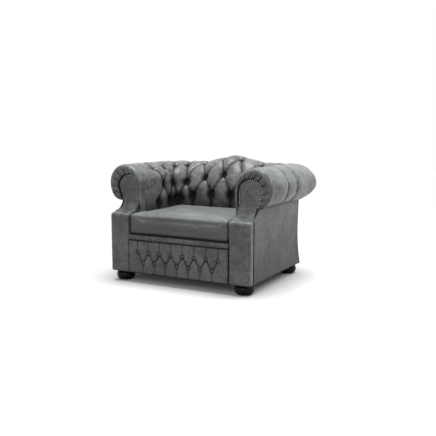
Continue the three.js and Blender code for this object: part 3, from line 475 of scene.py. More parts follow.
def plan(arm_reach, back_reach, radius, track):
    """A place in plan. The track is 0 at the arm's front, 1 where the corner starts, 2 at the
    mitre, 3 where the corner ends and 4 at the middle of the back."""
    on_arm = track <= 2
    run = np.where(on_arm, back_reach - radius - CORNER_Y, arm_reach - radius - CORNER_X)
    along = np.where(on_arm, track - 1, 3 - track) * (run + radius * math.pi / 4)
    bent = np.clip((along - run) / radius, 0, None)
    angle = np.where(on_arm, bent, math.pi / 2 - bent)
    straight = along <= run
    x = np.where(straight & on_arm, arm_reach, np.where(
        straight, CORNER_X + along, arm_reach - radius * (1 - np.cos(angle))))
    y = np.where(straight & on_arm, CORNER_Y + along, np.where(
        straight, back_reach, back_reach - radius * (1 - np.sin(angle))))
    x = np.where(track <= 1, arm_reach, np.where(track >= 3, mix(CORNER_X, 0, track - 3), x))
    y = np.where(track <= 1, mix(PAD_FRONT, CORNER_Y, track), np.where(track >= 3, back_reach, y))
    return x, y


def outline_point(track, share):
    """The smooth outline of the right half of the pads."""
    track, share = np.broadcast_arrays(np.asarray(track, float), np.asarray(share, float))
    arm_reach, arm_height = section(ARM, share)
    back_reach, back_height = section(BACK, share)
    radius = mix(INNER_CORNER, OUTER_CORNER,
                 (arm_reach - ARM["inside"]) / (ARM["wide"] - ARM["inside"]))
    x, y = plan(arm_reach, back_reach, radius, track)
    outer = np.clip((arm_reach - ARM["crest"]) / (ARM["wide"] - ARM["crest"]), 0, 1)
    taper = ROLL_TAPER * outer * np.exp(-np.maximum(y - PAD_FRONT, 0) / ROLL_TAPER_RUN)
    x = x - taper * (track < 1)
    z = mix(arm_height, back_height, smooth((track - 1) / 2))
    fade = np.cos(np.clip(share - 3, 0, None) * math.pi / 2)
    lift = np.where(track > 2, fade * smooth((z - PAD_BOTTOM) / (BACK["top"] - PAD_BOTTOM)), 0)
    return np.stack([x, y, z + HUMP_RISE * close_to(x, HUMP_SPREAD) * lift], -1)


def outline_axes(track, share):
    """The directions along the track, up the outline and into the pad."""
    step = 0.01
    along = (outline_point(np.minimum(track + step, 4), share)
             - outline_point(np.maximum(track - step, 0), share))
    rising = (outline_point(track, np.minimum(share + step, 4))
              - outline_point(track, np.maximum(share - step, 0)))
    along /= np.linalg.norm(along, axis=-1, keepdims=True)
    rising /= np.linalg.norm(rising, axis=-1, keepdims=True)
    inward = np.cross(along, rising)
    return along, rising, inward / np.linalg.norm(inward, axis=-1, keepdims=True)


def row_share(track, row):
    """The place up the outline of a row: 1 to 3 are the rows of buttons, 4 is the crest, 5 the
    widest place and 6 the end."""
    track, row = np.broadcast_arrays(np.asarray(track, float), np.asarray(row, float))
    place = np.clip(track - 1, 0, 2)
    rows = [np.interp(place, (0, 1, 2), shares) for shares in (LOW_ROW, MIDDLE_ROW, TOP_ROW)]
    stops = np.stack([0 * place, *rows, 0 * place + 2, 0 * place + 3, 0 * place + 4])
    below = np.clip(np.floor(row).astype(int), 0, 5)
    low = np.take_along_axis(stops, below[None], 0)[0]
    high = np.take_along_axis(stops, below[None] + 1, 0)[0]
    return mix(low, high, row - below)


def arm_track(y):
    return (y - PAD_FRONT) / (CORNER_Y - PAD_FRONT)


def back_track(x):
    return 4 - x / CORNER_X


FOLD_POINTS = 6
MIDDLE_TRACK = 4
# The buttons of each row by their tracks, from the arm's front to the middle of the back
ARM_COLUMN_START = 0.342
ARM_COLUMN_PITCH = 0.145
BACK_COLUMN_PITCH = 0.148
MIDDLE_CORNER = (1.61, 2.73)
TOP_CORNER = (1.83, 2.39)
ARM_COLUMNS = [arm_track(ARM_COLUMN_START + pitches * ARM_COLUMN_PITCH) for pitches in (0, 0.5, 1)]
BACK_COLUMNS = [back_track(pitches * BACK_COLUMN_PITCH) for pitches in (0, 0.5, 1, 1.5)]
LOW_BUTTONS = [ARM_COLUMNS[0], ARM_COLUMNS[2], 2, BACK_COLUMNS[3], BACK_COLUMNS[1]]
MIDDLE_BUTTONS = [ARM_COLUMNS[1], *MIDDLE_CORNER, BACK_COLUMNS[2], BACK_COLUMNS[0]]
TOP_BUTTONS = [ARM_COLUMNS[0], ARM_COLUMNS[2], *TOP_CORNER, BACK_COLUMNS[3], BACK_COLUMNS[1]]
BUTTONS = [*((track, 1) for track in LOW_BUTTONS), *((track, 2) for track in MIDDLE_BUTTONS),
           *((track, 3) for track in TOP_BUTTONS)]
# Folds, as the middle button and the top or low button that each one joins
TOP_LINKS = ((0, 0), (0, 1), (1, 1), (1, 2), (2, 3), (2, 4), (3, 4), (3, 5), (4, 5))
LOW_LINKS = ((0, 0), (0, 1), (1, 1), (1, 2), (2, 2), (2, 3), (3, 3), (3, 4), (4, 4))
PLEATS = [*(((MIDDLE_BUTTONS[m], 2), (TOP_BUTTONS[t], 3)) for m, t in TOP_LINKS),
          *(((MIDDLE_BUTTONS[m], 2), (LOW_BUTTONS[l], 1)) for m, l in LOW_LINKS),
          *(((track, 1), (track, 0)) for track in LOW_BUTTONS)]
SEAMS = [((track, 3), (track, 6)) for track in TOP_BUTTONS]
# How far the painted shade reaches around a button, in the low, the middle and the top row
HOLLOW_SHADE = (0.036, 0.030, 0.021)
# Depths and widths, or heights and lengths, of what shapes the leather between the buttons
DIP = (0.010, 0.038)
SEAM_WIDTH = 0.060
SEAM_CREASE = (0.004, 0.010)
WRINKLES = 9
WRINKLE_RING = 0.031
WRINKLE_RING_WIDTH = 0.014
WRINKLE_REACH = 0.06
PAD_WAVES = ((0.0012, 0.09, 3), (0.0005, 0.03, 4))
FULL_DEPTH = 0.010
# Strengths and reaches of the shade in the folds, in the seams and low on the pads
PLEAT_SHADE = (0.62, 0.0044)
PLEAT_SIDE_SHADE = (0.24, 0.013)
SEAM_SHADE = (0.94, 0.0040)
LOW_SHADE = (0.72, 0.070)
LOW_SHADE_HEIGHT = 0.450


def fold_line(ends):
    """A fold as a line of points on the smooth outline."""
    (from_track, from_row), (to_track, to_row) = ends
    share = np.linspace(0, 1, 1 + FOLD_POINTS * math.ceil(abs(to_row - from_row)))
    track = mix(from_track, to_track, share)
    return outline_point(track, row_share(track, mix(from_row, to_row, share)))


def buttoned(track, share, sizes):
    """The buttoned face of the right half: its points, a mask of painted shade in its hollows and folds,
    and one of wear.
    """
    points = outline_point(track, share)
    both = np.stack([points, points * MIRROR])
    to_pleat, to_seam = (
        np.min([line_distance(both, fold_line(ends)).min(0) for ends in folds], 0)
        for folds in (PLEATS, SEAMS))
    to_button = np.full(points.shape[:-1], np.inf)
    wrinkle = np.zeros(points.shape[:-1])
    painted_hollow_shade = np.zeros(points.shape[:-1])
    for number, (button_track, row) in enumerate(BUTTONS):
        at = np.array(button_track, float)
        place = row_share(at, row)
        along, rising = outline_axes(at, place)[:2]
        for view in both:
            offset = view - outline_point(at, place)
            distance = np.linalg.norm(offset, axis=-1)
            to_button = np.minimum(to_button, distance)
            painted_hollow_shade = np.maximum(painted_hollow_shade, close_to(distance, HOLLOW_SHADE[row - 1], 3))
            angle = np.arctan2(offset @ rising, offset @ along)
            fan = np.sin(WRINKLES * angle + 2 * np.sin(2 * angle + number) + number)
            wrinkle += fan * close_to(distance - WRINKLE_RING, WRINKLE_RING_WIDTH)
    hollow = sizes.hollow_depth * np.exp(-to_button / sizes.hollow_spread) + shade(to_button, *DIP)
    pleat = groove(to_pleat, sizes.pleat_depth, sizes.puff_width)
    seam = groove(to_seam, sizes.seam_depth, SEAM_WIDTH) + groove(to_seam, *SEAM_CREASE)
    depth = hollow + np.maximum(pleat, seam)
    depth += sizes.wrinkle_height * wrinkle * np.exp(-to_button / WRINKLE_REACH)
    depth += uneven(points, *PAD_WAVES)
    # Painted shade: darker in the hollows, along the pleats and seams and low on the pads
    fold = np.clip(
        painted_hollow_shade + shade(to_pleat, *PLEAT_SHADE) + shade(to_pleat, *PLEAT_SIDE_SHADE)
        + shade(to_seam, *SEAM_SHADE) + shade(points[..., 2] - LOW_SHADE_HEIGHT, *LOW_SHADE), 0, 1)
    # Paler on the raised crests, as worn leather is
    wear = np.clip(1 - depth / FULL_DEPTH, 0, 1)
    return points + depth[..., None] * outline_axes(track, share)[2], fold, wear


# Lengths of the stretches along the track and up the rows, which set the count of points in each
TRACK_LENGTHS = (0.322, 0.24, 0.24, 0.263)
ROW_LENGTHS = (0.165, 0.120, 0.105, 0.085, 0.19, 0.15)


def whole_stops(lengths, step):
    """Values from 0 that rise by 1 over each length, at about the given step."""
    stops = [0]
    for number, length in enumerate(lengths):
        stops.extend((max(int(length / step), 2), number + 1))
    return even(*stops)


def pad_pieces(sizes):
    """The arm pad and the back pad as bodies, with masks and normals taken over both of them."""
    tracks = whole_stops(TRACK_LENGTHS, sizes.mesh_step)
    rows = whole_stops(ROW_LENGTHS, sizes.mesh_step)
    track = tracks[:, None] + 0 * rows
    share = row_share(track, rows[None] + 0 * track)
    face, fold, wear = buttoned(track, share, sizes)
    whole = np.concatenate([face, (face * MIRROR)[-2::-1]])
    normals = grid_normals(whole)[:len(tracks)]
    inward = outline_axes(track, share)[2]
    normals *= -np.sign((normals * inward).sum(-1, keepdims=True))
    stem = [np.stack([*plan(ARM["inside"] + PAD_THICKNESS, BACK["inside"] + PAD_THICKNESS,
                            INNER_CORNER + PAD_THICKNESS, tracks), 0 * tracks + height], -1)
            for height in (ROLL_BOTTOM, PAD_BOTTOM)]
    rings = np.concatenate([face, np.stack(stem, 1)], 1)
    return tracks, rings, with_back(fold), with_back(wear), with_back(normals)


# The scrolls

def facing_depth(height):
    """The front of the facing: upright above, sweeping forward onto the pillar below."""
    drop = np.maximum(PILLAR_TOP + FACING_TOE + SWEEP_HEIGHT - height, 0) / SWEEP_HEIGHT
    return FACING_FACE - SWEEP_DEPTH * (1 - np.sqrt(np.maximum(1 - drop * drop, 0)))


def neck_reach(height):
    share = np.minimum((ARCH_Z - height) / (ARCH_Z - ROLL_BOTTOM), 1)
    return mix(ARCH_X + ARCH_RADIUS, NECK, share)


def facing_edges(height):
    """The inner and outer edges of the facing at a height."""
    half = np.sqrt(np.maximum(ARCH_RADIUS ** 2 - np.maximum(height - ARCH_Z, 0) ** 2, 0))
    inner_share = np.minimum((height - PILLAR_TOP) / (ARCH_Z - PILLAR_TOP), 1)
    inner = mix(PILLAR_INSIDE, ARCH_X - half, inner_share)
    return inner, np.where(height > ARCH_Z, ARCH_X + half, neck_reach(height))


FACING_COLUMNS = 33
# The facing's fullness, the tuck at its edge, the lip over the pillar, its least thickness and its
# unevenness, and then the painted shade along its edge, which starts above the pillar, and the
# rubbed line beside it
FACING_RISE = 0.0045
FACING_RISE_REACH = 0.020
FACING_TUCK = (0.0035, 0.0045)
FACING_LIP = 0.005
FACING_LEAST = 0.002
FACING_WAVES = (0.0006, 0.07, 11)
FACING_SHADE_REACH = 0.0112
FACING_SHADE_START = 0.004
FACING_SHADE_RUN = 0.02
FACING_WEAR = (0.7, 0.010)
FACING_WEAR_INSET = 0.016


def facing_body(sign):
    """The plain leather facing of a scroll, a little full in its middle."""
    toe = PILLAR_TOP + FACING_TOE
    heights = np.concatenate([
        even(PILLAR_TOP + FIT, 3, toe, 26, toe + SWEEP_HEIGHT, 16, ARCH_Z),
        ARCH_Z + ARCH_RADIUS * np.sin(np.linspace(0, math.radians(87), 26)[1:])])
    inner, outer = facing_edges(heights[:, None])
    x = mix(inner, outer, crowded(FACING_COLUMNS))
    z = heights[:, None] + 0 * x
    to_arch = ARCH_RADIUS - np.hypot(x - ARCH_X, z - ARCH_Z)
    to_edge = np.maximum(np.where(z > ARCH_Z, to_arch, np.minimum(x - inner, outer - x)), 0)
    front = np.minimum(facing_depth(np.maximum(z, toe)), FACING_BACK - FACING_LEAST)
    front = front - FACING_LIP * smooth((toe - z) / FACING_TOE)
    points = np.stack([x, front, z], -1)
    swell = FACING_RISE * (1 - np.exp(-to_edge / FACING_RISE_REACH)) - shade(to_edge, *FACING_TUCK)
    points[..., 1] += -swell - uneven(points + (sign, 0, 0), FACING_WAVES)
    # Painted shade along the facing's edge, from just above the pillar
    fold = (close_to(to_edge, FACING_SHADE_REACH, 6)
            * smooth((z - PILLAR_TOP - FACING_SHADE_START) / FACING_SHADE_RUN))
    wear = shade(to_edge - FACING_WEAR_INSET, *FACING_WEAR)
    return backed(points, 1, FACING_BACK, fold, wear)


# The pleats of each roll front, by how far up the outline they start
SCROLL_PLEATS = {1: (1.72, 1.95, 2.18, 2.42, 2.72, 3.10, 3.45),
                 -1: (1.62, 1.90, 2.15, 2.45, 2.75, 3.05, 3.40)}
# How far across the roll front stands out most, how far it stands out there where it is wide, and
# how far at its outer edge
ROLL_FRONT_CROWN = 0.42
ROLL_FRONT_RISE = 0.027
ROLL_FRONT_WIDE = 0.055
ROLL_FRONT_EDGE = 0.012
# How far it starts in front of the facing, and the least share of its full rise where it is narrow
ROLL_FRONT_PROUD = 0.001
ROLL_FRONT_LEAST = 0.25
# How square the leather falls to its outer edge, on the inner and on the outer side of the arch
ROLL_FRONT_SQUARE = (2.4, 3.6)
SQUARE_START = 1.9
SQUARE_RUN = 0.7
ROLL_FRONT_COLUMNS = 27
# A column that faces forward, which tells the normals' outer side
OUTWARD_COLUMN = 8
SCROLL_PLEAT_START = 0.35
SCROLL_PLEAT_RUN = 0.5
SCROLL_PLEAT_WIDTH = 0.022
SCROLL_PLEAT_WANDER = 0.004
SCROLL_WAVES = (0.0008, 0.05, 13)
# Painted shade in the pleats and along the inner edge, then how much paler the rounded outer side is, and
# where
SCROLL_PLEAT_SHADE = (0.88, 0.0042)
SCROLL_EDGE_SHADE = (0.97, 0.0048)
SCROLL_EDGE_PALENESS = (0.7, 0.14)
SCROLL_EDGE_PALENESS_PLACE = 0.84


def roll_front_edges(shares):
    """The inner and outer edges of a roll front, from the cushion up, over and down to the neck."""
    outline = {**ARM, "inside": ROLL_FRONT_INSIDE, "wide": ARM["wide"] - ROLL_TAPER}
    outer = np.stack(section(outline, shares), -1)
    radius = ARCH_RADIUS + FIT
    angle = math.pi * (3 - shares) / 2
    arch = np.stack([ARCH_X + radius * np.cos(angle), ARCH_Z + radius * np.sin(angle)], -1)
    neck = mix(ARCH_Z, ROLL_BOTTOM, np.clip(shares - 3, 0, 1))
    below = np.stack([neck_reach(neck) + FIT, neck], -1)
    height = mix(PAD_BOTTOM, ARCH_Z, np.minimum(shares, 1))
    reach = np.where(height < PILLAR_TOP, PILLAR_INSIDE - FIT, facing_edges(height)[0] - FIT)
    leg = np.stack([reach, height], -1)
    up = shares[:, None]
    return np.where(up > 3, below, np.where(up > 1, arch, leg)), outer


def roll_front_body(sign, sizes):
    """The pleated leather around a facing."""
    shares = even(0, 44, 1, 110, 3, 30, 4)
    inner, outer = roll_front_edges(shares)
    width = np.linalg.norm(outer - inner, axis=1)[:, None]
    across = crowded(ROLL_FRONT_COLUMNS)
    low = ROLL_FRONT_BACK - FACING_FACE + ROLL_FRONT_PROUD
    high = low + ROLL_FRONT_RISE * np.clip(width / ROLL_FRONT_WIDE, ROLL_FRONT_LEAST, 1)
    climb = 1 - np.clip(across / ROLL_FRONT_CROWN, 0, 1)
    rising = low + (high - low) * np.sqrt(1 - climb ** 2)
    beyond = np.clip((across - ROLL_FRONT_CROWN) / (1 - ROLL_FRONT_CROWN), 0, 1)
    square = mix(*ROLL_FRONT_SQUARE, smooth((shares - SQUARE_START) / SQUARE_RUN))[:, None]
    falling = ROLL_FRONT_EDGE + (high - ROLL_FRONT_EDGE) * (1 - beyond ** square) ** (1 / square)
    height = np.where(across < ROLL_FRONT_CROWN, rising, falling)
    place = inner[:, None] + (outer - inner)[:, None] * across[:, None]
    points = np.stack([place[..., 0], ROLL_FRONT_BACK - height, place[..., 1]], -1)
    run = running_length((inner + outer) / 2)
    pleats = np.interp(SCROLL_PLEATS[sign], shares, run)
    wander = SCROLL_PLEAT_WANDER * np.sin(9 * across + sign)
    to_pleat = np.abs(run[:, None, None] + wander[:, None] - pleats).min(-1)
    fade = 1 - smooth((across - SCROLL_PLEAT_START) / SCROLL_PLEAT_RUN)
    depth = groove(to_pleat, sizes.scroll_pleat_depth, SCROLL_PLEAT_WIDTH) * fade
    points[..., 1] += depth + uneven(points + sign, SCROLL_WAVES) * (1 - across ** 4)
    back = [np.stack([edge[:, 0], 0 * shares + ROLL_FRONT_BACK, edge[:, 1]], -1)
            for edge in (outer, inner)]
    rings = np.concatenate([points, np.stack(back, 1)], 1)
    # Painted shade in the pleats and along the inner edge by the facing
    fold = (shade(to_pleat, *SCROLL_PLEAT_SHADE) * fade
            + shade(across * width, *SCROLL_EDGE_SHADE))
    wear = shade(across - SCROLL_EDGE_PALENESS_PLACE, *SCROLL_EDGE_PALENESS)
    normals = grid_normals(rings[:, :-1])
    normals *= np.where(normals[:, OUTWARD_COLUMN, None, 1:2] > 0, -1, 1)
    normals = np.concatenate([normals, np.zeros((len(shares), 1, 3))], 1)
    return loft(rings), face_masks(fold, wear), normals


# The pillars and panels

ROUND_POINTS = 7


def rounded_plan(corners, spacing=0.005):
    """A plan outline from corners given as x, y and radius, with points at even spacing."""
    points = []
    places = np.array([corner[:2] for corner in corners])
    for number, place in enumerate(places):
        radius = corners[number][2]
        before = places[number - 1] - place
        after = places[(number + 1) % len(corners)] - place
        before /= np.linalg.norm(before)
        after /= np.linalg.norm(after)
        if radius == 0:
            points.append(place)
            continue
        start, end = place + before * radius, place + after * radius
        for share in np.linspace(0, 1, ROUND_POINTS):
            points.append(mix(mix(start, place, share), mix(place, end, share), share))
    filled = []
    for start, end in zip(points, [*points[1:], points[0]]):
        count = max(int(np.linalg.norm(end - start) / spacing), 1)
        filled.extend(mix(start, end, step / count) for step in range(count))
    return np.array(filled)


def inset_plan(outline, inset):
    """A plan outline moved in by a distance, for an outline that runs anticlockwise."""
    run = np.roll(outline, -1, axis=0) - np.roll(outline, 1, axis=0)
    inward = np.stack([-run[:, 1], run[:, 0]], -1) / np.linalg.norm(run, axis=1, keepdims=True)
    return outline + inward * inset


def round_edge(level, radius, count):
    """Heights and insets up a round edge to a level, or down to it for a radius below 0."""
    reach = abs(radius)
    return [(level - radius * (1 - math.sin(turn)), reach * (1 - math.cos(turn)))
            for turn in np.linspace(0, math.pi / 2, count)]


PILLAR_LOW_RADIUS = 0.014
PILLAR_TOP_RADIUS = 0.022
PILLAR_LEVEL_STEP = 0.006
# Behind the front the rounding shrinks to a share of itself, over a short run
PILLAR_EASE = 0.25
PILLAR_EASE_START = 0.014
PILLAR_EASE_RUN = 0.026
# Radii of a pillar's corners in plan, in front inside and outside and where it meets the panel
PILLAR_INNER_CORNER = 0.024
PILLAR_OUTER_CORNER = 0.026
PILLAR_WRAP_CORNER = 0.004
# The front swells a little, away from its edges and its top
PILLAR_CROWN = 0.0008
PILLAR_CROWN_REACH = 0.010
PILLAR_CROWN_TOP = 0.03
PILLAR_WAVES = (0.12, 21)
# Paleness of the front edges, partly wear and partly painted highlight, a painted lighter strip on
# the outer side where the leather wraps round, a painted highlight along the top, and painted shade
# at the foot
PILLAR_EDGE_REACH = 0.012
PILLAR_EDGE_DEPTH = 0.03
PILLAR_SKIN = 0.002
PILLAR_WRAP_START = 0.006
PILLAR_WRAP_RUN = 0.008
PILLAR_WRAP_HIGHLIGHT = 1.6
PILLAR_TOP_HIGHLIGHT = (1.4, 0.014)
PILLAR_WEAR_AND_HIGHLIGHT = 0.8
PILLAR_MOST_WEAR_AND_HIGHLIGHT = 1.6
PILLAR_SHADE = (0.5, 0.003)


def pillar_rings(outline):
    """An upright body on a plan outline, with round lower and upper edges."""
    levels = round_edge(BASE_BOTTOM, -PILLAR_LOW_RADIUS, ROUND_POINTS)[::-1]
    count = int((PILLAR_TOP - BASE_BOTTOM) / PILLAR_LEVEL_STEP)
    levels += [(height, 0) for height in np.linspace(
        BASE_BOTTOM + PILLAR_LOW_RADIUS, PILLAR_TOP - PILLAR_TOP_RADIUS, count)[1:-1]]
    levels += round_edge(PILLAR_TOP, PILLAR_TOP_RADIUS, ROUND_POINTS)
    behind = smooth((outline[:, 1:] - PILLAR_EASE_START) / PILLAR_EASE_RUN)
    ease = mix(1.0, PILLAR_EASE, behind)
    return np.array([np.column_stack([inset_plan(outline, inset * ease),
                                      np.full(len(outline), height)]) for height, inset in levels])


def pillar_body(sign):
    """A pillar's cover: a soft box whose outer side steps in where the outside panel starts."""
    panel_inside = SIDE - PANEL - FIT
    outline = rounded_plan([
        (PILLAR_INSIDE, 0, PILLAR_INNER_CORNER), (SIDE, 0, PILLAR_OUTER_CORNER),
        (SIDE, PILLAR_WRAP, PILLAR_WRAP_CORNER),
        (panel_inside, PILLAR_WRAP, 0), (panel_inside, ROLL_FRONT_BACK, 0),
        (PILLAR_INSIDE, ROLL_FRONT_BACK, 0)])
    rings = pillar_rings(outline)
    x, y, z = np.moveaxis(rings, -1, 0)
    front = close_to(y, PILLAR_CROWN_REACH)
    across = (x - PILLAR_INSIDE) / (SIDE - PILLAR_INSIDE)
    middle = np.clip(4 * across * (1 - across), 0, 1)
    below = np.clip((PILLAR_TOP - z) / PILLAR_CROWN_TOP, 0, 1)
    wave = drift(rings + 2 * sign, *PILLAR_WAVES)
    rings[..., 1] += front * PILLAR_CROWN * (1 + wave) * middle * below
    to_edge = np.minimum(np.abs(x - PILLAR_INSIDE), np.abs(SIDE - x))
    to_edge += np.minimum(y, PILLAR_EDGE_DEPTH)
    wrap = (x > SIDE - PILLAR_SKIN) * smooth((y - PILLAR_WRAP_START) / PILLAR_WRAP_RUN)
    # Painted light: a paler wrapped side strip and top band; the front edges are partly worn, partly
    # painted highlight
    wear = (close_to(to_edge, PILLAR_EDGE_REACH) + PILLAR_WRAP_HIGHLIGHT * wrap
            + shade(PILLAR_TOP - z, *PILLAR_TOP_HIGHLIGHT))
    wear = PILLAR_WEAR_AND_HIGHLIGHT * np.clip(wear, 0, PILLAR_MOST_WEAR_AND_HIGHLIGHT)
    # Painted shade at the foot of the pillar
    return loft(rings), {"fold": shade(z - BASE_BOTTOM, *PILLAR_SHADE), "wear": wear}


def rear_depth(height):
    """The outside back's depth: it flares out at the foot and leans back at the neck."""
    low = (WAIST_HEIGHT - height) / (WAIST_HEIGHT - BASE_BOTTOM)
    high = (height - WAIST_HEIGHT) / (ROLL_BOTTOM - WAIST_HEIGHT)
    return np.where(height < WAIST_HEIGHT, mix(WAIST_DEPTH, BASE_DEPTH, low ** 2),
                    mix(WAIST_DEPTH, NECK_DEPTH, high ** 2))


# The outside panels: how far their edges roll over, how flat they lie and how uneven they are, and
# the shade at their seams
PANEL_ROLL = (0.004, 0.003)
PANEL_FLAT_INSET = 0.05
PANEL_SINK = 0.0008
PANEL_LIMIT = 0.002
ARM_PANEL_WAVES = ((0.0012, 0.20, 31), (0.0005, 0.06, 32))
BACK_PANEL_WAVES = (0.0012, 0.22, 33)
PANEL_SHADE = (0.8, 0.003)
# The outer side of an arm has painted shade that grows downward over this height, by this much
ARM_PANEL_PAINTED_SHADE = 0.46
ARM_PANEL_PAINTED_SHADE_HEIGHT = 0.42
ARM_PANEL_WEAR = (0.5, 0.05)


def outside_arm_body(sign):
    """The plain panel outside an arm, rolled over at its edges and a little uneven."""
    heights = even(BASE_BOTTOM, 62, PILLAR_TOP + FACING_TOE, 12, ROLL_BOTTOM - FIT)[:, None]
    front = np.where(heights < PILLAR_TOP + FACING_TOE, PILLAR_WRAP, facing_depth(heights)) + FIT
    rear = rear_depth(heights) - PANEL - FIT
    y = mix(front, rear, even(0, 110, 1))
    z = heights + 0 * y
    to_seam = np.minimum.reduce([rear - y, z - BASE_BOTTOM, ROLL_BOTTOM - z])
    to_edge = np.minimum(to_seam, y - front)
    points = np.stack([SIDE - shade(np.maximum(to_edge, 0), *PANEL_ROLL), y, z], -1)
    waves = uneven(points + 3 * sign, *ARM_PANEL_WAVES) - PANEL_SINK
    points[..., 0] += smooth(to_edge / PANEL_FLAT_INSET) * waves
    points[..., 0] = np.minimum(points[..., 0], SIDE + PANEL_LIMIT)
    # Painted shade at the seams, and painted shade that grows toward the foot
    fold = (shade(np.maximum(to_seam, 0), *PANEL_SHADE)
            + ARM_PANEL_PAINTED_SHADE * (1 - smooth((z - BASE_BOTTOM) / ARM_PANEL_PAINTED_SHADE_HEIGHT)))
    return backed(points, 0, SIDE - PANEL, fold, shade(z - BASE_BOTTOM, *ARM_PANEL_WEAR))


def outside_back_body():
    """The plain panel outside the back."""
    heights = even(BASE_BOTTOM, 74, ROLL_BOTTOM - FIT)[:, None]
    x = SIDE * even(-1, 160, 1) + 0 * heights
    z = heights + 0 * x
    to_edge = np.maximum(
        np.minimum.reduce([SIDE - np.abs(x), z - BASE_BOTTOM, ROLL_BOTTOM - z]), 0)
    points = np.stack([x, rear_depth(z) - shade(to_edge, *PANEL_ROLL), z], -1)
    waves = uneven(points, BACK_PANEL_WAVES) - PANEL_SINK
    points[..., 1] += smooth(to_edge / PANEL_FLAT_INSET) * waves
    # Painted shade along the seams at the panel's edges
    return backed(points, 1, rear_depth(heights) - PANEL, shade(to_edge, *PANEL_SHADE), 0)


# The front between the pillars

# Depths and widths of the border's folds, its hollows, its tucked edges and its unevenness
BORDER_DEPTH = 0.0035
UPRIGHT_FOLD = (0.008, 0.030, 0.0015)
ZIGZAG_FOLD = (0.009, 0.030, 0.0015)
BORDER_HOLLOW = (0.0055, 0.013)
BORDER_TUCK = (0.005, 0.004)
BORDER_WAVES = (0.0006, 0.05, 41)
# Strengths and reaches of the border's shades
BORDER_SHADE = 0.08
BORDER_FOLD_SHADE = (0.75, 0.0032)
ZIGZAG_SHADE = (0.22, 0.010)
BORDER_BUTTON_SHADE = (0.85, 0.0150, 4)
BORDER_EDGE_SHADE = (0.9, 0.0060)
BORDER_WEAR = 0.6
BORDER_FULL_DEPTH = 0.008
BORDER_GRID = (200, 62)


def border_buttons():
    rows = []
    for height, count in BORDER_ROWS:
        reach = (count - 1) / 2 * BORDER_PITCH
        rows.append([np.array((x, 0, height)) for x in np.linspace(-reach, reach, count)])
    return rows


def border_body():
    """The shallow buttoned border: upright pleats above and below, zigzag folds between."""
    high, low = border_buttons()
    half = PILLAR_INSIDE - FIT
    top = STRIP[0] - FIT
    columns, rows = BORDER_GRID
    x, z = np.meshgrid(np.linspace(-half, half, columns), np.linspace(BASE_BOTTOM, top, rows),
                       indexing="ij")
    flat = np.stack([x, 0 * x, z], -1)
    upright = [np.array([place, (*place[:2], end)])
               for row, end in ((high, top), (low, BASE_BOTTOM)) for place in row]
    zigzag = [np.array([place, high[number + side]])
              for number, place in enumerate(low) for side in (0, 1)]
    to_upright = np.min([line_distance(flat, line) for line in upright], 0)
    to_zigzag = np.min([line_distance(flat, line) for line in zigzag], 0)
    to_button = np.min([np.linalg.norm(flat - place, axis=-1) for place in (*high, *low)], 0)
    to_edge = np.maximum(np.minimum.reduce([half - np.abs(x), z - BASE_BOTTOM, top - z]), 0)
    depth = BORDER_DEPTH + np.maximum(groove(to_upright, *UPRIGHT_FOLD),
                                      groove(to_zigzag, *ZIGZAG_FOLD))
    depth += shade(to_button, *BORDER_HOLLOW)
    depth += shade(to_edge, *BORDER_TUCK)
    depth += uneven(flat, BORDER_WAVES)
    # Painted shade: a little over the whole border, more in the folds, around the buttons and at the edges
    fold = (BORDER_SHADE + shade(np.minimum(to_upright, to_zigzag), *BORDER_FOLD_SHADE)
            + shade(to_zigzag, *ZIGZAG_SHADE) + shade(to_button, *BORDER_BUTTON_SHADE)
            + shade(to_edge, *BORDER_EDGE_SHADE))
    wear = BORDER_WEAR * np.clip(1 - depth / BORDER_FULL_DEPTH, 0, 1)
    return backed(np.stack([x, depth, z], -1), 1, BORDER_BACK, fold, wear)


# How far the strip stands out, how uneven it is and how much paler its forward middle is, and its
# painted shade in the middle and what its seams add to that
STRIP_RISE = 0.0185
STRIP_WAVES = (0.0007, 0.06, 42)
STRIP_SINK = 0.0005
STRIP_PALENESS = 0.4
STRIP_SHADE = 0.18
STRIP_SEAM_SHADE = 0.82


def strip_body():
    """The narrow padded strip under the cushion."""
    half = PILLAR_INSIDE - FIT
    xs = np.linspace(-half, half, 150)[:, None]
    turns = np.linspace(-math.pi / 2, math.pi / 2, 15)
    up, out = np.sin(turns), np.cos(turns)
    z = sum(STRIP) / 2 + (STRIP[1] - STRIP[0]) / 2 * np.sign(up) * np.abs(up) ** 0.75
    y = BORDER_BACK - STRIP_RISE * np.abs(out) ** 0.5
    face = np.stack(np.broadcast_arrays(xs, y, z), -1)
    face[..., 1] += (uneven(face, STRIP_WAVES) + STRIP_SINK) * out
    # Painted shade over the strip, darkest at its seams above and below
    fold = STRIP_SHADE + STRIP_SEAM_SHADE * np.abs(up) ** 3 + 0 * xs
    return loft(face), {"fold": fold, "wear": STRIP_PALENESS * out ** 2 + 0 * xs}


# How far the buttons stand out, how much deeper than the leather's hollows those of the pads sit,
# and how far behind the pillar fronts those of the border sit
PAD_BUTTON_RISE = 0.0055
PAD_BUTTON_SINK = 0.0025
BORDER_BUTTON_RADIUS = 0.0098
BORDER_BUTTON_RISE = 0.0060
BORDER_BUTTON_DEPTH = 0.0110
# The domes of a button, with its rim tucked under, and of a nail, with the dirt in its rim: widths
# and heights as shares of the radius and the rise, and for the nail the dirt
BUTTON_DOME = ((0.80, -0.45), (1.0, -0.25), (1.0, 0.0), (0.95, 0.30), (0.80, 0.62), (0.55, 0.86),
               (0.28, 0.97), (0.06, 1.0))
NAIL_DOME = ((1.0, -0.2, 1.0), (1.0, 0.1, 1.0), (0.93, 0.42, 1.0), (0.75, 0.72, 0.90),
             (0.48, 0.91, 0.35), (0.2, 0.99, 0.0), (0.05, 1.0, 0.0))
BUTTON_SIDES = 20
NAIL_SIDES = 12


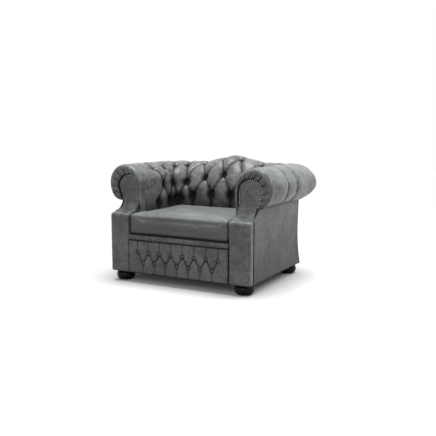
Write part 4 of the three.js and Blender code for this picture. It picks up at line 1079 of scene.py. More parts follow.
def buttons_body(radius, rise, seats, fold, wear):
    """Covered buttons on their seats, each a place and a direction, with even masks."""
    button = turned(BUTTON_DOME, BUTTON_SIDES, radius, rise)
    body = join(faced(button, place, normal) for place, normal in seats)
    return body, {"fold": np.full(len(body[0]), fold), "wear": np.full(len(body[0]), wear)}


# The nails

# How far behind the pillar fronts the straight rows of nails stand, and how far down and up they
# run
NAIL_ROW_Y = 0.058
NAIL_ROW_ENDS = (0.0706, 0.432)
# How far the heads stand out, and how far they start above the leather
NAIL_ROW_RISE = 0.0028
NAIL_ARCH_RISE = 0.0032
NAIL_LIFT = 0.0004
# The arch of nails stands this far inside the facing's edge, and its inner leg ends here
NAIL_INSET = 0.0045
NAIL_ARCH_FOOT = 0.458


def nails_body(sizes, rise, seats):
    """Domed nails on their seats, with a mask: dark dirt in the rim, bare metal on the crown."""
    dome = [nail[:2] for nail in NAIL_DOME]
    head = turned(dome, NAIL_SIDES, sizes.nail_radius, rise)
    dirt = np.repeat([nail[2] for nail in NAIL_DOME], NAIL_SIDES)
    body = join(faced(head, place, normal) for place, normal in seats)
    return body, {"rim": np.tile(dirt, len(seats))}


def nail_row_body(sizes):
    low, high = NAIL_ROW_ENDS
    count = int((high - low) / sizes.nail_pitch) + 1
    first = (low + high - (count - 1) * sizes.nail_pitch) / 2
    seats = [((SIDE + NAIL_LIFT, NAIL_ROW_Y, first + number * sizes.nail_pitch), (1, 0, 0))
             for number in range(count)]
    return nails_body(sizes, NAIL_ROW_RISE, seats)


def arch_line(sizes):
    """The line of nails just inside the edge of a facing."""
    inner_leg = np.linspace(NAIL_ARCH_FOOT, ARCH_Z, 50)
    outer_leg = np.linspace(ARCH_Z, ROLL_BOTTOM, 40)
    inner = facing_edges(inner_leg)[0] + NAIL_INSET
    outer = facing_edges(outer_leg)[1] - NAIL_INSET
    angles = np.linspace(math.pi, 0, 80)[1:-1]
    radius = ARCH_RADIUS - NAIL_INSET
    arch = np.stack([ARCH_X + radius * np.cos(angles), ARCH_Z + radius * np.sin(angles)], -1)
    line = np.concatenate([np.stack([inner, inner_leg], -1), arch,
                           np.stack([outer, outer_leg], -1)])
    length = running_length(line)[-1]
    count = int(length / sizes.nail_pitch)
    return at_lengths(line, np.linspace(sizes.nail_radius, length - sizes.nail_radius, count))


def nail_arch_body(sizes):
    step = 0.002
    seats = []
    for x, z in arch_line(sizes):
        front = float(facing_depth(z))
        lean = (float(facing_depth(z + step)) - front) / step
        seats.append(((x, front + NAIL_LIFT, z), (0, -1, lean)))
    return nails_body(sizes, NAIL_ARCH_RISE, seats)


# The seat cushion

CUSHION_SIDE = 0.331
CUSHION_FRONT = 0.005
CUSHION_REAR = 0.556
CUSHION_EDGE = 0.436
CUSHION_CROWN = 0.019
CROWN_REACH = 0.07
# The most room that the filled cover may take between the arms
CUSHION_LIMITS = ((-0.3335, 0.0042, 0.3101), (0.3335, 0.5575, 0.4580))
CUSHION_LIFT = 0.0005
CUSHION_RADIUS = 0.019
CUSHION_LOW_RADIUS = 0.007
# Radii of the cushion's corners in plan, in front and at the rear, and the least that is left of
# them toward the middle of its top
CUSHION_CORNERS = ((0.020, 0.006), (0.080, 0.02))
# How far the middles of its sides pull in
CUSHION_PULL = 0.006
CUSHION_SPACING = 0.008
# Insets of the rings under the cushion and over its crown
LOW_INSETS = (0.24, 0.16, 0.08, 0.03)
CROWN_INSETS = (0.025, 0.045, 0.07, 0.10, 0.14, 0.19, 0.24, 0.26)
CUSHION_VOXEL = 0.0065
# The foam core counts as a box with edges this round, and the cover keeps this far off it
CORE_ROUNDING = 0.040
CORE_CLEARANCE = 0.002
# In front of the arms the cushion is a little wider, nearly up to the pillars
CUSHION_EAR = 0.0215
CUSHION_EAR_REACH = (0.070, 0.100)
# The opening of the zip: half its length, its middle height, half its width, and how far in the
# cover stays there
ZIP_HALF = 0.213
ZIP_HEIGHT = 0.376
ZIP_REACH = 0.009
ZIP_DEPTH = 0.5435
# The cushion's painted highlight along its top edge, the painted shade at its foot and, evenly, on
# its sides up to just below the edge, and the run over which its top is painted lighter
CUSHION_EDGE_REACH = 0.022
CUSHION_EDGE_HIGHLIGHT = (1.1, 0.012)
CUSHION_FOOT_SHADE = 0.013
CUSHION_SIDE_SHADE = 0.20
CUSHION_SIDE_TOP = 0.02
CUSHION_TOP_RUN = 0.01


def cushion_level(height, inset):
    """One ring of the cushion's cover, whose sides pull in between the corners."""
    side, front, rear = CUSHION_SIDE - inset, CUSHION_FRONT + inset, CUSHION_REAR - inset
    near, far = (max(radius - inset, least) for radius, least in CUSHION_CORNERS)
    ring = rounded_plan([(-side, front, near), (side, front, near), (side, rear, far),
                         (-side, rear, far)], CUSHION_SPACING)
    middle = (front + rear) / 2
    across = ring[:, 0] / side
    along = (ring[:, 1] - middle) / ((rear - front) / 2)
    for axis, place, other in ((1, along, across), (0, across, along)):
        pull = CUSHION_PULL * np.clip(np.abs(place), 0, 1) ** 6 * (1 - other ** 2)
        ring[:, axis] -= np.sign(place) * pull
    return np.column_stack([ring, np.full(len(ring), height)])


def cushion_cover():
    """The cut cover before it is filled: a box with round edges and a crowned top."""
    foot = PAD_BOTTOM + CUSHION_LIFT
    levels = [(foot, inset) for inset in LOW_INSETS]
    levels += round_edge(foot, -CUSHION_LOW_RADIUS, 6)[::-1]
    levels += [(height, 0) for height in np.linspace(
        PAD_BOTTOM + CUSHION_LOW_RADIUS, CUSHION_EDGE - CUSHION_RADIUS, 14)]
    levels += round_edge(CUSHION_EDGE, CUSHION_RADIUS, 6)
    levels += [(CUSHION_EDGE + CUSHION_CROWN * (1 - math.exp((CUSHION_RADIUS - inset) / CROWN_REACH)),
                inset) for inset in CROWN_INSETS]
    outlines = [cushion_level(height, inset) for height, inset in levels]
    size = max(len(ring) for ring in outlines)
    rings = []
    for ring in outlines:
        closed = np.concatenate([ring, ring[:1]])
        stops = np.linspace(0, running_length(closed)[-1], size, endpoint=False)
        rings.append(at_lengths(closed, stops))
    return loft(rings)


def vertex_array(mesh):
    places = np.empty(len(mesh.vertices) * 3, np.float32)
    mesh.vertices.foreach_get("co", places)
    return places.reshape(-1, 3).astype(float)


def apply_all(piece):
    """Applies the modifiers of a piece."""
    evaluated = piece.evaluated_get(bpy.context.evaluated_depsgraph_get())
    mesh = bpy.data.meshes.new_from_object(evaluated)
    piece.modifiers.clear()
    old, piece.data = piece.data, mesh
    mesh.name = old.name
    bpy.data.meshes.remove(old)


# How the leather of the cushion behaves in the cloth simulation
HIDE = {"quality": 6, "mass": 0.35, "tension_stiffness": 25, "compression_stiffness": 12,
        "shear_stiffness": 8, "bending_stiffness": 1.2}


def fill_cover(piece, sizes):
    """Fills a closed cover by a short cloth simulation, and caps how far its points move."""
    before = vertex_array(piece.data)
    cloth = piece.modifiers.new("filling", 'CLOTH')
    for name, value in HIDE.items():
        setattr(cloth.settings, name, value)
    cloth.settings.use_pressure = True
    cloth.settings.uniform_pressure_force = sizes.cushion_pressure
    cloth.settings.effector_weights.gravity = 0
    cloth.point_cache.frame_start = 1
    cloth.point_cache.frame_end = sizes.simulation_steps
    scene = bpy.context.scene
    for step in range(1, sizes.simulation_steps + 1):
        scene.frame_set(step)
    filled = piece.evaluated_get(bpy.context.evaluated_depsgraph_get())
    move = vertex_array(filled.data) - before
    piece.modifiers.clear()
    scene.frame_set(1)
    length = np.linalg.norm(move, axis=1, keepdims=True)
    move *= np.minimum(1, sizes.cushion_swell / np.maximum(length, TINY))
    piece.data.vertices.foreach_set("co", (before + move).astype(np.float32).ravel())


# The feet

FEET_X = 0.428
FEET_Y = {"front": 0.074, "rear": 0.729}
BUN_MIDDLE = 0.036
BUN_RADIUS = 0.024
# The lower half of the bun is deeper than the upper half
BUN_DROP = 1.45
FOOT_SOLE = ((0.010, 0.0), (0.030, 0.0), (0.034, 0.0015))
FOOT_NECK = ((0.0535, 0.0585), (0.0525, 0.0600), (0.0520, 0.0623), (0.010, 0.0623))


def foot_body():
    """A turned bun foot."""
    bun = []
    for turn in np.radians(np.linspace(-90, 82, 24))[3:-2]:
        rise = BUN_RADIUS * math.sin(turn) * (BUN_DROP if turn < 0 else 1.0)
        bun.append((BUN_MIDDLE + BUN_RADIUS * math.cos(turn), BUN_MIDDLE + rise))
    return turned([*FOOT_SOLE, *bun, *FOOT_NECK], 64)


# Materials

def add_node(tree, kind, inputs=None, **settings):
    """A node with its settings, and its inputs given as values or as sockets to link."""
    node = tree.nodes.new(kind)
    for name, value in settings.items():
        setattr(node, name, value)
    for name, value in (inputs or {}).items():
        if isinstance(value, bpy.types.NodeSocket):
            tree.links.new(value, node.inputs[name])
        else:
            node.inputs[name].default_value = value
    return node


def calculate(tree, operation, first, second=0.0, clamp=False):
    return add_node(tree, "ShaderNodeMath", {0: first, 1: second}, operation=operation,
                    use_clamp=clamp).outputs[0]


def times(tree, first, second):
    return calculate(tree, 'MULTIPLY', first, second)


def mix_level(tree, factor, low, high):
    return calculate(tree, 'ADD', low, times(tree, factor, high - low))


def mix_colours(tree, factor, first, second):
    return add_node(tree, "ShaderNodeMix", {0: factor, 6: first, 7: second},
                    data_type='RGBA').outputs[2]


def spread(tree, value, low, high, from_value=0.0, to_value=1.0):
    """A value's range stretched to another, without going past its ends."""
    return add_node(tree, "ShaderNodeMapRange", {
        "Value": value, "From Min": low, "From Max": high, "To Min": from_value,
        "To Max": to_value}, interpolation_type='SMOOTHSTEP').outputs[0]


def noise(tree, place, scale, detail=4.0, roughness=0.55, distortion=0.0):
    return add_node(tree, "ShaderNodeTexNoise", {
        "Vector": place, "Scale": scale, "Detail": detail, "Roughness": roughness,
        "Distortion": distortion}).outputs["Fac"]


def stored(tree, mask):
    """A mask that is stored at the points of a piece."""
    return add_node(tree, "ShaderNodeAttribute", attribute_name=mask).outputs["Fac"]


def cells(tree, place, scale, feature='F1'):
    return add_node(tree, "ShaderNodeTexVoronoi", {"Vector": place, "Scale": scale},
                    feature=feature).outputs["Distance"]


COLOUR, VALUE = "NodeSocketColor", "NodeSocketFloat"


def new_group(name, colours, values):
    """A node group with its inputs, and the place on the object."""
    group = bpy.data.node_groups.new(name, "ShaderNodeTree")
    for label in colours:
        group.interface.new_socket(label, in_out='INPUT', socket_type=COLOUR)
    for label in values:
        group.interface.new_socket(label, in_out='INPUT', socket_type=VALUE)
    given = group.nodes.new("NodeGroupInput").outputs
    return group, given, add_node(group, "ShaderNodeTexCoord").outputs["Object"]


def put_out(group, **sockets):
    """Gives a node group its outputs."""
    for label in sockets:
        group.interface.new_socket(label, in_out='OUTPUT',
                                   socket_type=COLOUR if label == "Colour" else VALUE)
    add_node(group, "NodeGroupOutput", sockets)
    return group


# Scale, detail, roughness and distortion of the leather's noises, and scales of its cells
WIDE_CLOUDS = (5.0, 3.0, 0.5, 0.2)
PATCHES = (26.0, 5.0, 0.58, 0.6)
FINE_SPOTS = (95.0, 4.0, 0.6)
VEINS = (12.0, 6.0, 0.55, 1.2)
SCRATCH_GAPS = (9.0, 2.0)
SCRATCH_CELLS = 8.0
CREASE_CELLS = 110.0
GRAIN_CELLS = 480.0
# How far the noise bends the scratches and creases
BEND = 0.05


def leather_group():
    """Aged leather: patches, pale creases and scratches, painted shade in folds, rubbed edges and painted
    highlights, and grain.
    """
    group, given, place = new_group("aged_leather", ("Colour", "Shade", "Pale", "Painted shade"),
                                    ("Patches", "Scratches", "Roughness"))
    wide = noise(group, place, *WIDE_CLOUDS)
    patch = noise(group, place, *PATCHES)
    fine = noise(group, place, *FINE_SPOTS)
    blend = calculate(group, 'ADD', times(group, wide, 0.36), times(group, patch, 0.34))
    blend = calculate(group, 'ADD', blend, times(group, fine, 0.30))
    tone = times(group, spread(group, blend, 0.42, 0.58, 1.0, 0.0), given["Patches"])
    colour = mix_colours(group, tone, given["Colour"], given["Shade"])
    # Scratches run along the edges of large bent cells, and creases along veins of the noise
    bend = add_node(group, "ShaderNodeTexNoise", {"Vector": place, "Scale": 6.0, "Detail": 2.0})
    bent = add_node(group, "ShaderNodeVectorMath", {
        0: bend.outputs["Color"], 1: (BEND, BEND, BEND), 2: place},
        operation='MULTIPLY_ADD').outputs[0]
    scratch = cells(group, bent, SCRATCH_CELLS, 'DISTANCE_TO_EDGE')
    scratch = times(group, spread(group, scratch, 0.0, 0.016, 1.0, 0.0),
                    spread(group, noise(group, place, *SCRATCH_GAPS), 0.50, 0.62))
    vein = noise(group, place, *VEINS)
    vein = calculate(group, 'ABSOLUTE', calculate(group, 'SUBTRACT', vein, 0.5))
    vein = times(group, spread(group, vein, 0.0, 0.020, 0.5, 0.0), spread(group, patch, 0.45, 0.62))
    marks = times(group, calculate(group, 'ADD', vein, scratch, clamp=True), given["Scratches"])
    colour = mix_colours(group, marks, colour, given["Pale"])
    # Paler by the stored mask: wear on crests and edges, and painted highlights on the pillars and the
    # cushion
    pale_wear_and_light = times(group, stored(group, "wear"), spread(group, patch, 0.35, 0.70, 0.10, 0.26))
    colour = mix_colours(group, pale_wear_and_light, colour, given["Pale"])
    # Painted shade: darkened toward its colour by the stored mask in hollows, folds, seams and low places
    fold = stored(group, "fold")
    colour = mix_colours(group, times(group, fold, 0.97), colour, given["Painted shade"])
    rough = calculate(group, 'ADD', given["Roughness"], spread(group, fine, 0.3, 0.7, -0.05, 0.06))
    rough = calculate(group, 'ADD', rough, times(group, fold, 0.45), clamp=True)
    # The grain is of fine cells, the creases are the edges of larger ones
    crease = cells(group, bent, CREASE_CELLS, 'DISTANCE_TO_EDGE')
    grain = cells(group, place, GRAIN_CELLS)
    height = calculate(group, 'ADD', times(group, grain, 0.30),
                       spread(group, crease, 0.0, 0.12, 0.0, 0.22))
    height = calculate(group, 'ADD', height, times(group, patch, 0.9))
    height = calculate(group, 'SUBTRACT', height, times(group, marks, 0.25))
    # The wax shines on the open leather and not in the folds
    wax = times(group, calculate(group, 'SUBTRACT', 1.0, fold, clamp=True),
                spread(group, patch, 0.35, 0.65, 0.62, 0.46))
    return put_out(group, Colour=colour, Roughness=rough, Height=height, Wax=wax)


def wood_group():
    """Wood with long grain along one axis."""
    group, given, place = new_group("wood_grain", ("Colour", "Dark"), ("Roughness",))
    stretched = add_node(group, "ShaderNodeMapping", {
        "Vector": place, "Scale": (6.0, 60.0, 60.0)}).outputs[0]
    grain = noise(group, stretched, 1.6, 6.0, 0.6, 0.8)
    pores = noise(group, stretched, 7.0, 3.0, 0.5)
    colour = mix_colours(group, spread(group, grain, 0.35, 0.65), given["Dark"], given["Colour"])
    rough = calculate(group, 'ADD', given["Roughness"],
                      spread(group, pores, 0.3, 0.7, -0.05, 0.08), clamp=True)
    height = calculate(group, 'ADD', grain, times(group, pores, 0.4))
    return put_out(group, Colour=colour, Roughness=rough, Height=height)


def speckle_group():
    """Uneven colour and texture at one scale, with dirt on rims: metal, felt, foam and cloth."""
    group, given, place = new_group("speckle", ("Colour", "Dark", "Dirt"), ("Scale", "Roughness"))
    cloud = add_node(group, "ShaderNodeTexNoise", {
        "Vector": place, "Scale": given["Scale"], "Detail": 6.0}).outputs["Fac"]
    colour = mix_colours(group, spread(group, cloud, 0.35, 0.65), given["Dark"], given["Colour"])
    colour = mix_colours(group, stored(group, "rim"), colour, given["Dirt"])
    rough = calculate(group, 'ADD', given["Roughness"],
                      spread(group, cloud, 0.3, 0.7, -0.08, 0.10), clamp=True)
    height = calculate(group, 'ADD', cloud, cells(group, place, given["Scale"]))
    return put_out(group, Colour=colour, Roughness=rough, Height=height)


FINISHES = {}
GROUPS = {"aged_leather": leather_group, "wood_grain": wood_group, "speckle": speckle_group}


def empty_tree(owner):
    """The emptied node tree of a material or a world."""
    owner.use_nodes = True
    owner.node_tree.nodes.clear()
    return owner.node_tree


def finish(name, group_name, inputs, bump, bump_distance, **shader_values):
    """A material from one of the groups, made once. Its bump has a strength and a height."""
    if name in FINISHES:
        return FINISHES[name]
    material = FINISHES[name] = bpy.data.materials.new(name)
    tree = empty_tree(material)
    group = add_node(tree, "ShaderNodeGroup", node_tree=bpy.data.node_groups.get(group_name)
                     or GROUPS[group_name]())
    for label, value in inputs.items():
        group.inputs[label].default_value = value if isinstance(value, float) else (*value, 1.0)
    height = add_node(tree, "ShaderNodeBump", {
        "Strength": bump, "Distance": bump_distance, "Height": group.outputs["Height"]})
    if "Wax" in group.outputs:
        shader_values["Coat Weight"] = group.outputs["Wax"]
    shader = add_node(tree, "ShaderNodeBsdfPrincipled", {
        "Base Color": group.outputs["Colour"], "Roughness": group.outputs["Roughness"],
        "Normal": height.outputs[0], **shader_values})
    add_node(tree, "ShaderNodeOutputMaterial", {"Surface": shader.outputs[0]})
    return material


def leather(name="leather_smooth", patches=1.0, scratches=0.50, roughness=0.33):
    colours = bpy.context.scene.armchair_finishes
    return finish(name, "aged_leather", {
        "Colour": colours.leather, "Shade": colours.leather_dark, "Pale": colours.leather_pale,
        "Painted shade": colours.leather_painted_shade, "Patches": patches, "Scratches": scratches,
        "Roughness": roughness}, 0.45, 0.0004,
        **{"Specular IOR Level": 0.10, "Coat Roughness": 0.34})


def darker(colour, level):
    return tuple(channel * level for channel in colour)


def wood(name, colour, dark, roughness, bump, bump_distance, **shader_values):
    return finish(name, "wood_grain", {
        "Colour": colour, "Dark": dark, "Roughness": roughness}, bump, bump_distance,
        **shader_values)


def speckled(name, colour, dark, scale, roughness, bump, bump_distance, **shader_values):
    return finish(name, "speckle", {
        "Colour": colour, "Dark": dark, "Dirt": NAIL_DIRT, "Scale": scale,
        "Roughness": roughness}, bump, bump_distance, **shader_values)


def metal(name, colour, roughness):
    return speckled(name, colour, darker(colour, 0.45), 180.0, roughness, 0.15, 0.0004, Metallic=1.0)


NAIL_DIRT = (0.016, 0.013, 0.012)
# Finishes of the hidden parts: name, colour, its darker shade, for the speckled ones the scale,
# then the roughness and the strength and height of the bump
PLYWOOD = ("plywood_birch", (0.56, 0.40, 0.24), (0.38, 0.25, 0.13), 0.6, 0.2, 0.0006)
SPECKLED = {
    "felt": ("felt_fibre", (0.060, 0.056, 0.050), (0.025, 0.023, 0.020), 300.0, 0.95, 0.6, 0.002),
    "black_cloth": ("black_cloth_weave", (0.018, 0.018, 0.020), (0.007, 0.007, 0.008), 600.0,
                    0.9, 0.5, 0.0006),
    "foam": ("foam_cells", (0.80, 0.74, 0.45), (0.62, 0.55, 0.30), 260.0, 0.9, 0.7, 0.002),
    "zip_tape": ("zip_tape_weave", (0.040, 0.041, 0.042), (0.015, 0.015, 0.016), 700.0,
                 0.7, 0.5, 0.0005),
}
SPRING_STEEL = (0.42, 0.43, 0.45)


# The operators

class ARMCHAIR_OT_inside_pads(bpy.types.Operator):
    """Make the buttoned pads inside the arms and the back"""

    bl_idname = "armchair.inside_pads"
    bl_label = "Buttoned Pads"

    def execute(self, context):
        sizes = context.scene.armchair_upholstery
        hide = leather()
        tracks, rings, fold, wear, normals = pad_pieces(sizes)
        mitre = int(np.argmin(np.abs(tracks - 2)))
        arm = slice(0, mitre + 1)
        for side, sign in SIDES.items():
            flip = np.array((sign, 1, 1))
            points, faces = loft(rings[arm])
            make_piece(f"inside_arm_{side}_leather", (points * flip, faces), hide,
                       replaced=[f"inside_arm_{side}"], masks={"fold": fold[arm], "wear": wear[arm]},
                       normals=normals[arm] * flip, fill=0.8)

        def whole(values, flip=1):
            half = values[mitre:]
            return np.concatenate([half, (half * flip)[-2::-1]])

        make_piece("inside_back_leather", loft(whole(rings, (-1, 1, 1))), hide,
                   replaced=["inside_back"], masks={"fold": whole(fold), "wear": whole(wear)},
                   normals=whole(normals, (-1, 1, 1)), fill=0.8)
        return {'FINISHED'}


class ARMCHAIR_OT_pad_buttons(bpy.types.Operator):
    """Set the covered buttons into the hollows of the pads"""

    bl_idname = "armchair.pad_buttons"
    bl_label = "Pad Buttons"

    def execute(self, context):
        sizes = context.scene.armchair_upholstery
        seats = []
        for track, row in BUTTONS:
            share = row_share(track, row)
            spot = outline_point(track, share)
            inward = outline_axes(np.array(float(track)), share)[2]
            depth = sizes.hollow_depth + sizes.pleat_depth * 0.55 + PAD_BUTTON_SINK
            seats.append((spot + depth * inward, -inward))
            if track < MIDDLE_TRACK:
                seats.append(((spot + depth * inward) * MIRROR, -inward * MIRROR))
        # The pad buttons get nearly full painted shade, as they sit deep in the hollows
        body, masks = buttons_body(sizes.button_radius, PAD_BUTTON_RISE, seats, 0.86, 0.2)
        make_piece("pad_buttons", body, leather(), masks=masks)
        return {'FINISHED'}


class ARMCHAIR_OT_scroll_fronts(bpy.types.Operator):
    """Make the facings of the scrolls and the pleated leather around them"""

    bl_idname = "armchair.scroll_fronts"
    bl_label = "Scroll Fronts"

    def execute(self, context):
        sizes = context.scene.armchair_upholstery
        make_pair("scroll_facing", facing_body, leather(), fill=0.6)
        make_pair("roll_front", lambda sign: roll_front_body(sign, sizes), leather(), fill=0.8)
        return {'FINISHED'}


class ARMCHAIR_OT_pillars(bpy.types.Operator):
    """Make the leather covers of the pillars"""

    bl_idname = "armchair.pillars"
    bl_label = "Pillars"

    def execute(self, context):
        make_pair("pillar_cover", pillar_body, leather(), fill=0.7)
        return {'FINISHED'}


class ARMCHAIR_OT_front_panel(bpy.types.Operator):
    """Make the buttoned border and the padded strip between the pillars"""

    bl_idname = "armchair.front_panel"
    bl_label = "Front Border"

    def execute(self, context):
        body, masks = border_body()
        make_piece("front_border_leather", body, leather(), replaced=["front_border"],
                   masks=masks, fill=0.6)
        body, masks = strip_body()
        make_piece("rail_strip_leather", body, leather(), replaced=["rail_strip"],
                   masks=masks, fill=0.7)
        seats = [(place + (0, BORDER_BUTTON_DEPTH, 0), (0, -1, 0))
                 for row in border_buttons() for place in row]
        # The border buttons get a little painted shade
        body, masks = buttons_body(BORDER_BUTTON_RADIUS, BORDER_BUTTON_RISE, seats, 0.30, 0.4)
        make_piece("border_buttons", body, leather(), masks=masks)
        return {'FINISHED'}


class ARMCHAIR_OT_outside_panels(bpy.types.Operator):
    """Make the plain leather outside the arms and the back"""

    bl_idname = "armchair.outside_panels"
    bl_label = "Outside Panels"

    def execute(self, context):
        plain = leather("leather_panels", patches=1.0, scratches=0.85, roughness=0.40)
        make_pair("outside_arm", outside_arm_body, plain, fill=0.3)
        body, masks = outside_back_body()
        make_piece("outside_back_leather", body, plain, replaced=["outside_back"], masks=masks,
                   fill=0.3)
        return {'FINISHED'}


class ARMCHAIR_OT_nails(bpy.types.Operator):
    """Set the rows and arches of domed nails"""

    bl_idname = "armchair.nails"
    bl_label = "Nails"

    def execute(self, context):
        sizes = context.scene.armchair_upholstery
        colour = context.scene.armchair_finishes.nail_metal
        aged = metal("nail_metal_aged", tuple(colour), 0.24)
        dull = metal("nail_metal_dull", darker(colour, 0.03), 0.36)
        make_pair("nail_row", lambda sign: nail_row_body(sizes), dull, "piece",
                  slot="nail_metal")
        make_pair("nail_arch", lambda sign: nail_arch_body(sizes), aged, "piece",
                  slot="nail_metal")
        return {'FINISHED'}


class ARMCHAIR_OT_seat_cushion(bpy.types.Operator):
    """Cut, fill and finish the loose seat cushion"""

    bl_idname = "armchair.seat_cushion"
    bl_label = "Seat Cushion"

    def execute(self, context):
        sizes = context.scene.armchair_upholstery
        hide = leather("leather_cushion", patches=0.55, scratches=0.30, roughness=0.38)
        cover = make_piece("seat_cushion_leather", cushion_cover(), hide,
                           rides=CUSHION, replaced=["cushion_cover"], fill=0.85)
        remesh = cover.modifiers.new("even mesh", 'REMESH')
        remesh.mode = 'VOXEL'
        remesh.voxel_size = CUSHION_VOXEL
        remesh.use_smooth_shade = True
        apply_all(cover)
        fill_cover(cover, sizes)
        rounding = cover.modifiers.new("rounding", 'SUBSURF')
        rounding.levels = rounding.render_levels = 1
        apply_all(cover)
        self.settle(cover.data)
        cover.data.shade_smooth()
        return {'FINISHED'}

    def clear_core(self, places):
        """Moves what lies in the foam core, a box with round edges, out through its surface."""
        low, high = np.array(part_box("cushion_core")) - (0, PILLAR_FRONT, 0)
        middle = (low + high) / 2
        beyond = np.abs(places - middle) - ((high - low) / 2 - CORE_ROUNDING)
        outside = np.maximum(beyond, 0)
        reach = np.linalg.norm(outside, axis=1)
        nearest = np.eye(3)[beyond.argmax(1)]
        away = np.where(reach[:, None] > 0, outside / np.maximum(reach, TINY)[:, None], nearest)
        depth = CORE_ROUNDING + CORE_CLEARANCE - np.where(reach > 0, reach, beyond.max(1))
        places += np.sign(places - middle) * away * np.maximum(depth, 0)[:, None]

    def settle(self, mesh):
        """Keeps the cover clear of its neighbours, and paints shade at its foot and sides, a highlight on
        its top edge and a paler top.
        """
        places = vertex_array(mesh) - (0, PILLAR_FRONT, 0)
        flat = places[:, :2]
        low, high = flat.min(0), flat.max(0)
        wanted_low = np.array((-CUSHION_SIDE, CUSHION_FRONT))
        wanted_high = np.array((CUSHION_SIDE, CUSHION_REAR))
        places[:, :2] = wanted_low + (flat - low) / (high - low) * (wanted_high - wanted_low)
        self.clear_core(places)
        places = np.clip(places, *np.array(CUSHION_LIMITS))
        near, far = CUSHION_EAR_REACH
        ear = CUSHION_EAR * (1 - smooth((places[:, 1] - near) / (far - near)))
        places[:, 0] *= 1 + ear / CUSHION_SIDE
        x, y, z = places.T
        zip_opening = (np.abs(x) < ZIP_HALF) & (np.abs(z - ZIP_HEIGHT) < ZIP_REACH) & (y > 0.5)
        places[zip_opening, 1] = np.minimum(places[zip_opening, 1], ZIP_DEPTH)
        mesh.vertices.foreach_set(
            "co", (places + (0, PILLAR_FRONT, 0)).astype(np.float32).ravel())
        to_side = np.minimum.reduce([CUSHION_SIDE + ear - np.abs(x), y - CUSHION_FRONT,
                                     CUSHION_REAR - y])
        # Painted light: a highlight along the top edge and a paler top; painted shade at the foot and on
        # the sides
        edge = close_to(to_side, CUSHION_EDGE_REACH) * shade(z - CUSHION_EDGE, *CUSHION_EDGE_HIGHLIGHT)
        foot = close_to(z - PAD_BOTTOM, CUSHION_FOOT_SHADE)
        below = 1 - smooth((z - CUSHION_EDGE + CUSHION_SIDE_TOP) / CUSHION_SIDE_TOP)
        store_masks(mesh, {"fold": foot + CUSHION_SIDE_SHADE * (1 - foot) * below,
                           "wear": edge + smooth((z - CUSHION_EDGE) / CUSHION_TOP_RUN)})
        mesh.update()


class ARMCHAIR_OT_feet(bpy.types.Operator):
    """Turn the bun feet"""

    bl_idname = "armchair.feet"
    bl_label = "Feet"

    def execute(self, context):
        colours = context.scene.armchair_finishes
        polished = wood("foot_wood_polished", tuple(colours.foot_wood),
                        darker(colours.foot_wood, 0.4), 0.34, 0.05, 0.0005,
                        **{"Specular IOR Level": 0.12})
        points, faces = foot_body()
        for end, y in FEET_Y.items():
            for side, sign in SIDES.items():
                name = f"foot_{end}_{side}"
                make_piece(f"{name}_bun", (points + (FEET_X * sign, y, 0), faces), polished,
                           replaced=[name], slot="foot_wood")
        return {'FINISHED'}


class ARMCHAIR_OT_inner_parts(bpy.types.Operator):
    """Give the frame, the springs and the other inner parts their finishes"""

    bl_idname = "armchair.inner_parts"
    bl_label = "Inner Parts"

    def execute(self, context):
        colours = context.scene.armchair_finishes
        frame_colour = tuple(colours.frame_wood)
        finishes = {
            **{slot: speckled(*values) for slot, values in SPECKLED.items()},
            "frame_wood": wood("frame_wood_plain", frame_colour, darker(frame_colour, 0.55),
                               0.6, 0.25, 0.0008),
            "plywood": wood(*PLYWOOD),
            "steel": metal("spring_steel", SPRING_STEEL, 0.38),
            "foot_wood": FINISHES["foot_wood_polished"],
            "nail_metal": FINISHES["nail_metal_aged"],
            "leather": leather(),
        }
        for row in frame["record"]["subparts"]:
            node = frame["nodes"].get(row["node"])
            if node is None:
                raise RuntimeError(f"the frame has no node {row['node']}")
            material = finishes[row["material_slot"]]
            if not node.material_slots:
                node.data.materials.append(material)
            for place in node.material_slots:
                place.material = material
        return {'FINISHED'}


KEY_PLACE = (1.35, 0.35, 2.9)
# The panel lamps: their size, where they stand and what they point at
SIDE_LAMP = (0.7, (1.4, 0.20, 1.25), (0.5, 0.05, 0.55))
FRONT_LAMP = (2.0, (0.6, -3.6, 2.2), (0.0, 0.0, 0.45))
FLOOR_REACH = 14.0


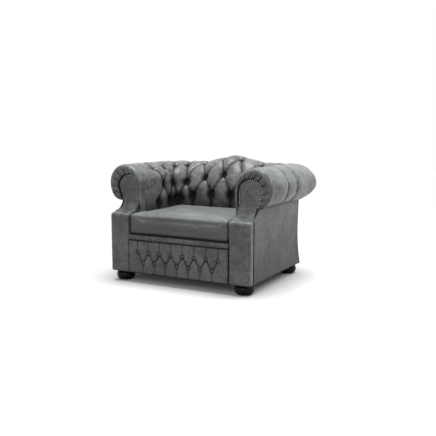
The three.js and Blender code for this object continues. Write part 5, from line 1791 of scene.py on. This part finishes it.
class ARMCHAIR_OT_studio(bpy.types.Operator):
    """Set the camera, the lamps and the pale floor"""

    bl_idname = "armchair.studio"
    bl_label = "Studio"

    def execute(self, context):
        scene = context.scene
        studio = scene.armchair_studio
        lens = bpy.data.cameras.new("camera")
        lens.lens = studio.lens
        lens.sensor_width = 36.0
        camera = put_in_scene("camera", lens, studio.place)
        camera.rotation_euler = (math.pi / 2 - studio.tilt, 0, studio.turn)
        scene.camera = camera

        key = self.make_lamp("key_lamp", 'SUN', studio.key_power, KEY_PLACE,
                             -Vector(studio.key_from))
        key.angle = studio.key_softness
        for name, power, size, place, target in (
                ("side_lamp", studio.side_power, *SIDE_LAMP),
                ("front_lamp", studio.front_power, *FRONT_LAMP)):
            panel = self.make_lamp(name, 'AREA', power, place, Vector(target) - Vector(place))
            panel.size = size
        self.make_world(scene, studio)
        self.make_floor(scene, studio)
        scene.view_settings.view_transform = 'Standard'
        return {'FINISHED'}

    def make_lamp(self, name, kind, power, place, direction):
        lamp = bpy.data.lights.new(name, kind)
        lamp.energy = power
        stand = put_in_scene(name, lamp, place)
        stand.rotation_euler = direction.to_track_quat('-Z', 'Y').to_euler()
        return lamp

    def seen_directly(self, tree):
        """1 for what the camera sees straight, in a reflection or through glass."""
        path = tree.nodes.new("ShaderNodeLightPath")
        seen = calculate(tree, 'MAXIMUM', path.outputs["Is Camera Ray"],
                         path.outputs["Is Glossy Ray"])
        return calculate(tree, 'MAXIMUM', seen, path.outputs["Is Transmission Ray"])

    def make_world(self, scene, studio):
        world = bpy.data.worlds.new("studio")
        scene.world = world
        tree = empty_tree(world)
        level = mix_level(tree, self.seen_directly(tree), studio.fill_level, 1.0)
        background = add_node(tree, "ShaderNodeBackground", {
            "Color": (1.0, 1.0, 1.0, 1.0), "Strength": level})
        add_node(tree, "ShaderNodeOutputWorld", {"Surface": background.outputs[0]})

    def make_floor(self, scene, studio):
        colours = scene.armchair_finishes
        material = bpy.data.materials.new("studio_floor")
        tree = empty_tree(material)
        seen = self.seen_directly(tree)
        colour = mix_colours(tree, seen, (*colours.floor_bounce, 1.0), (*colours.floor, 1.0))
        matt = add_node(tree, "ShaderNodeBsdfDiffuse", {"Color": colour})
        lift = times(tree, seen, studio.floor_lift)
        glow = add_node(tree, "ShaderNodeEmission", {"Strength": lift})
        both = add_node(tree, "ShaderNodeAddShader", {0: matt.outputs[0], 1: glow.outputs[0]})
        add_node(tree, "ShaderNodeOutputMaterial", {"Surface": both.outputs[0]})
        mesh = bpy.data.meshes.new("studio_floor")
        corners = ((-1, -1), (1, -1), (1, 1), (-1, 1))
        mesh.from_pydata([(FLOOR_REACH * x, FLOOR_REACH * y, 0) for x, y in corners], [],
                         [(0, 1, 2, 3)])
        mesh.materials.append(material)
        floor = put_in_scene("studio_floor", mesh)


class ARMCHAIR_PT_panel(bpy.types.Panel):
    """The armchair's steps and settings"""

    bl_idname = "ARMCHAIR_PT_panel"
    bl_label = "Armchair"
    bl_space_type = 'VIEW_3D'
    bl_region_type = 'UI'
    bl_category = "Armchair"

    def draw(self, context):
        for step in STEPS:
            self.layout.operator(step.bl_idname)
        for settings in SETTINGS:
            box = self.layout.box()
            group = getattr(context.scene, settings)
            for name in group.bl_rna.properties.keys():
                if name not in {"rna_type", "name"}:
                    box.prop(group, name)


STEPS = (ARMCHAIR_OT_inside_pads, ARMCHAIR_OT_pad_buttons, ARMCHAIR_OT_scroll_fronts,
         ARMCHAIR_OT_pillars, ARMCHAIR_OT_front_panel, ARMCHAIR_OT_outside_panels,
         ARMCHAIR_OT_nails, ARMCHAIR_OT_seat_cushion, ARMCHAIR_OT_feet, ARMCHAIR_OT_inner_parts,
         ARMCHAIR_OT_studio)
SETTINGS = {"armchair_upholstery": UpholsterySizes, "armchair_finishes": FinishColours,
            "armchair_studio": StudioSettings}


def register():
    for group in SETTINGS.values():
        bpy.utils.register_class(group)
    for name, group in SETTINGS.items():
        setattr(bpy.types.Scene, name, PointerProperty(type=group))
    for step in (*STEPS, ARMCHAIR_PT_panel):
        bpy.utils.register_class(step)


def unregister():
    for step in reversed((*STEPS, ARMCHAIR_PT_panel)):
        bpy.utils.unregister_class(step)
    for name, group in SETTINGS.items():
        delattr(bpy.types.Scene, name)
        bpy.utils.unregister_class(group)


def main():
    register()
    bpy.ops.armchair.inside_pads()
    bpy.ops.armchair.pad_buttons()
    bpy.ops.armchair.scroll_fronts()
    bpy.ops.armchair.pillars()
    bpy.ops.armchair.front_panel()
    bpy.ops.armchair.outside_panels()
    bpy.ops.armchair.nails()
    bpy.ops.armchair.seat_cushion()
    bpy.ops.armchair.feet()
    bpy.ops.armchair.inner_parts()
    bpy.ops.armchair.studio()


if __name__ == "__main__":
    main()
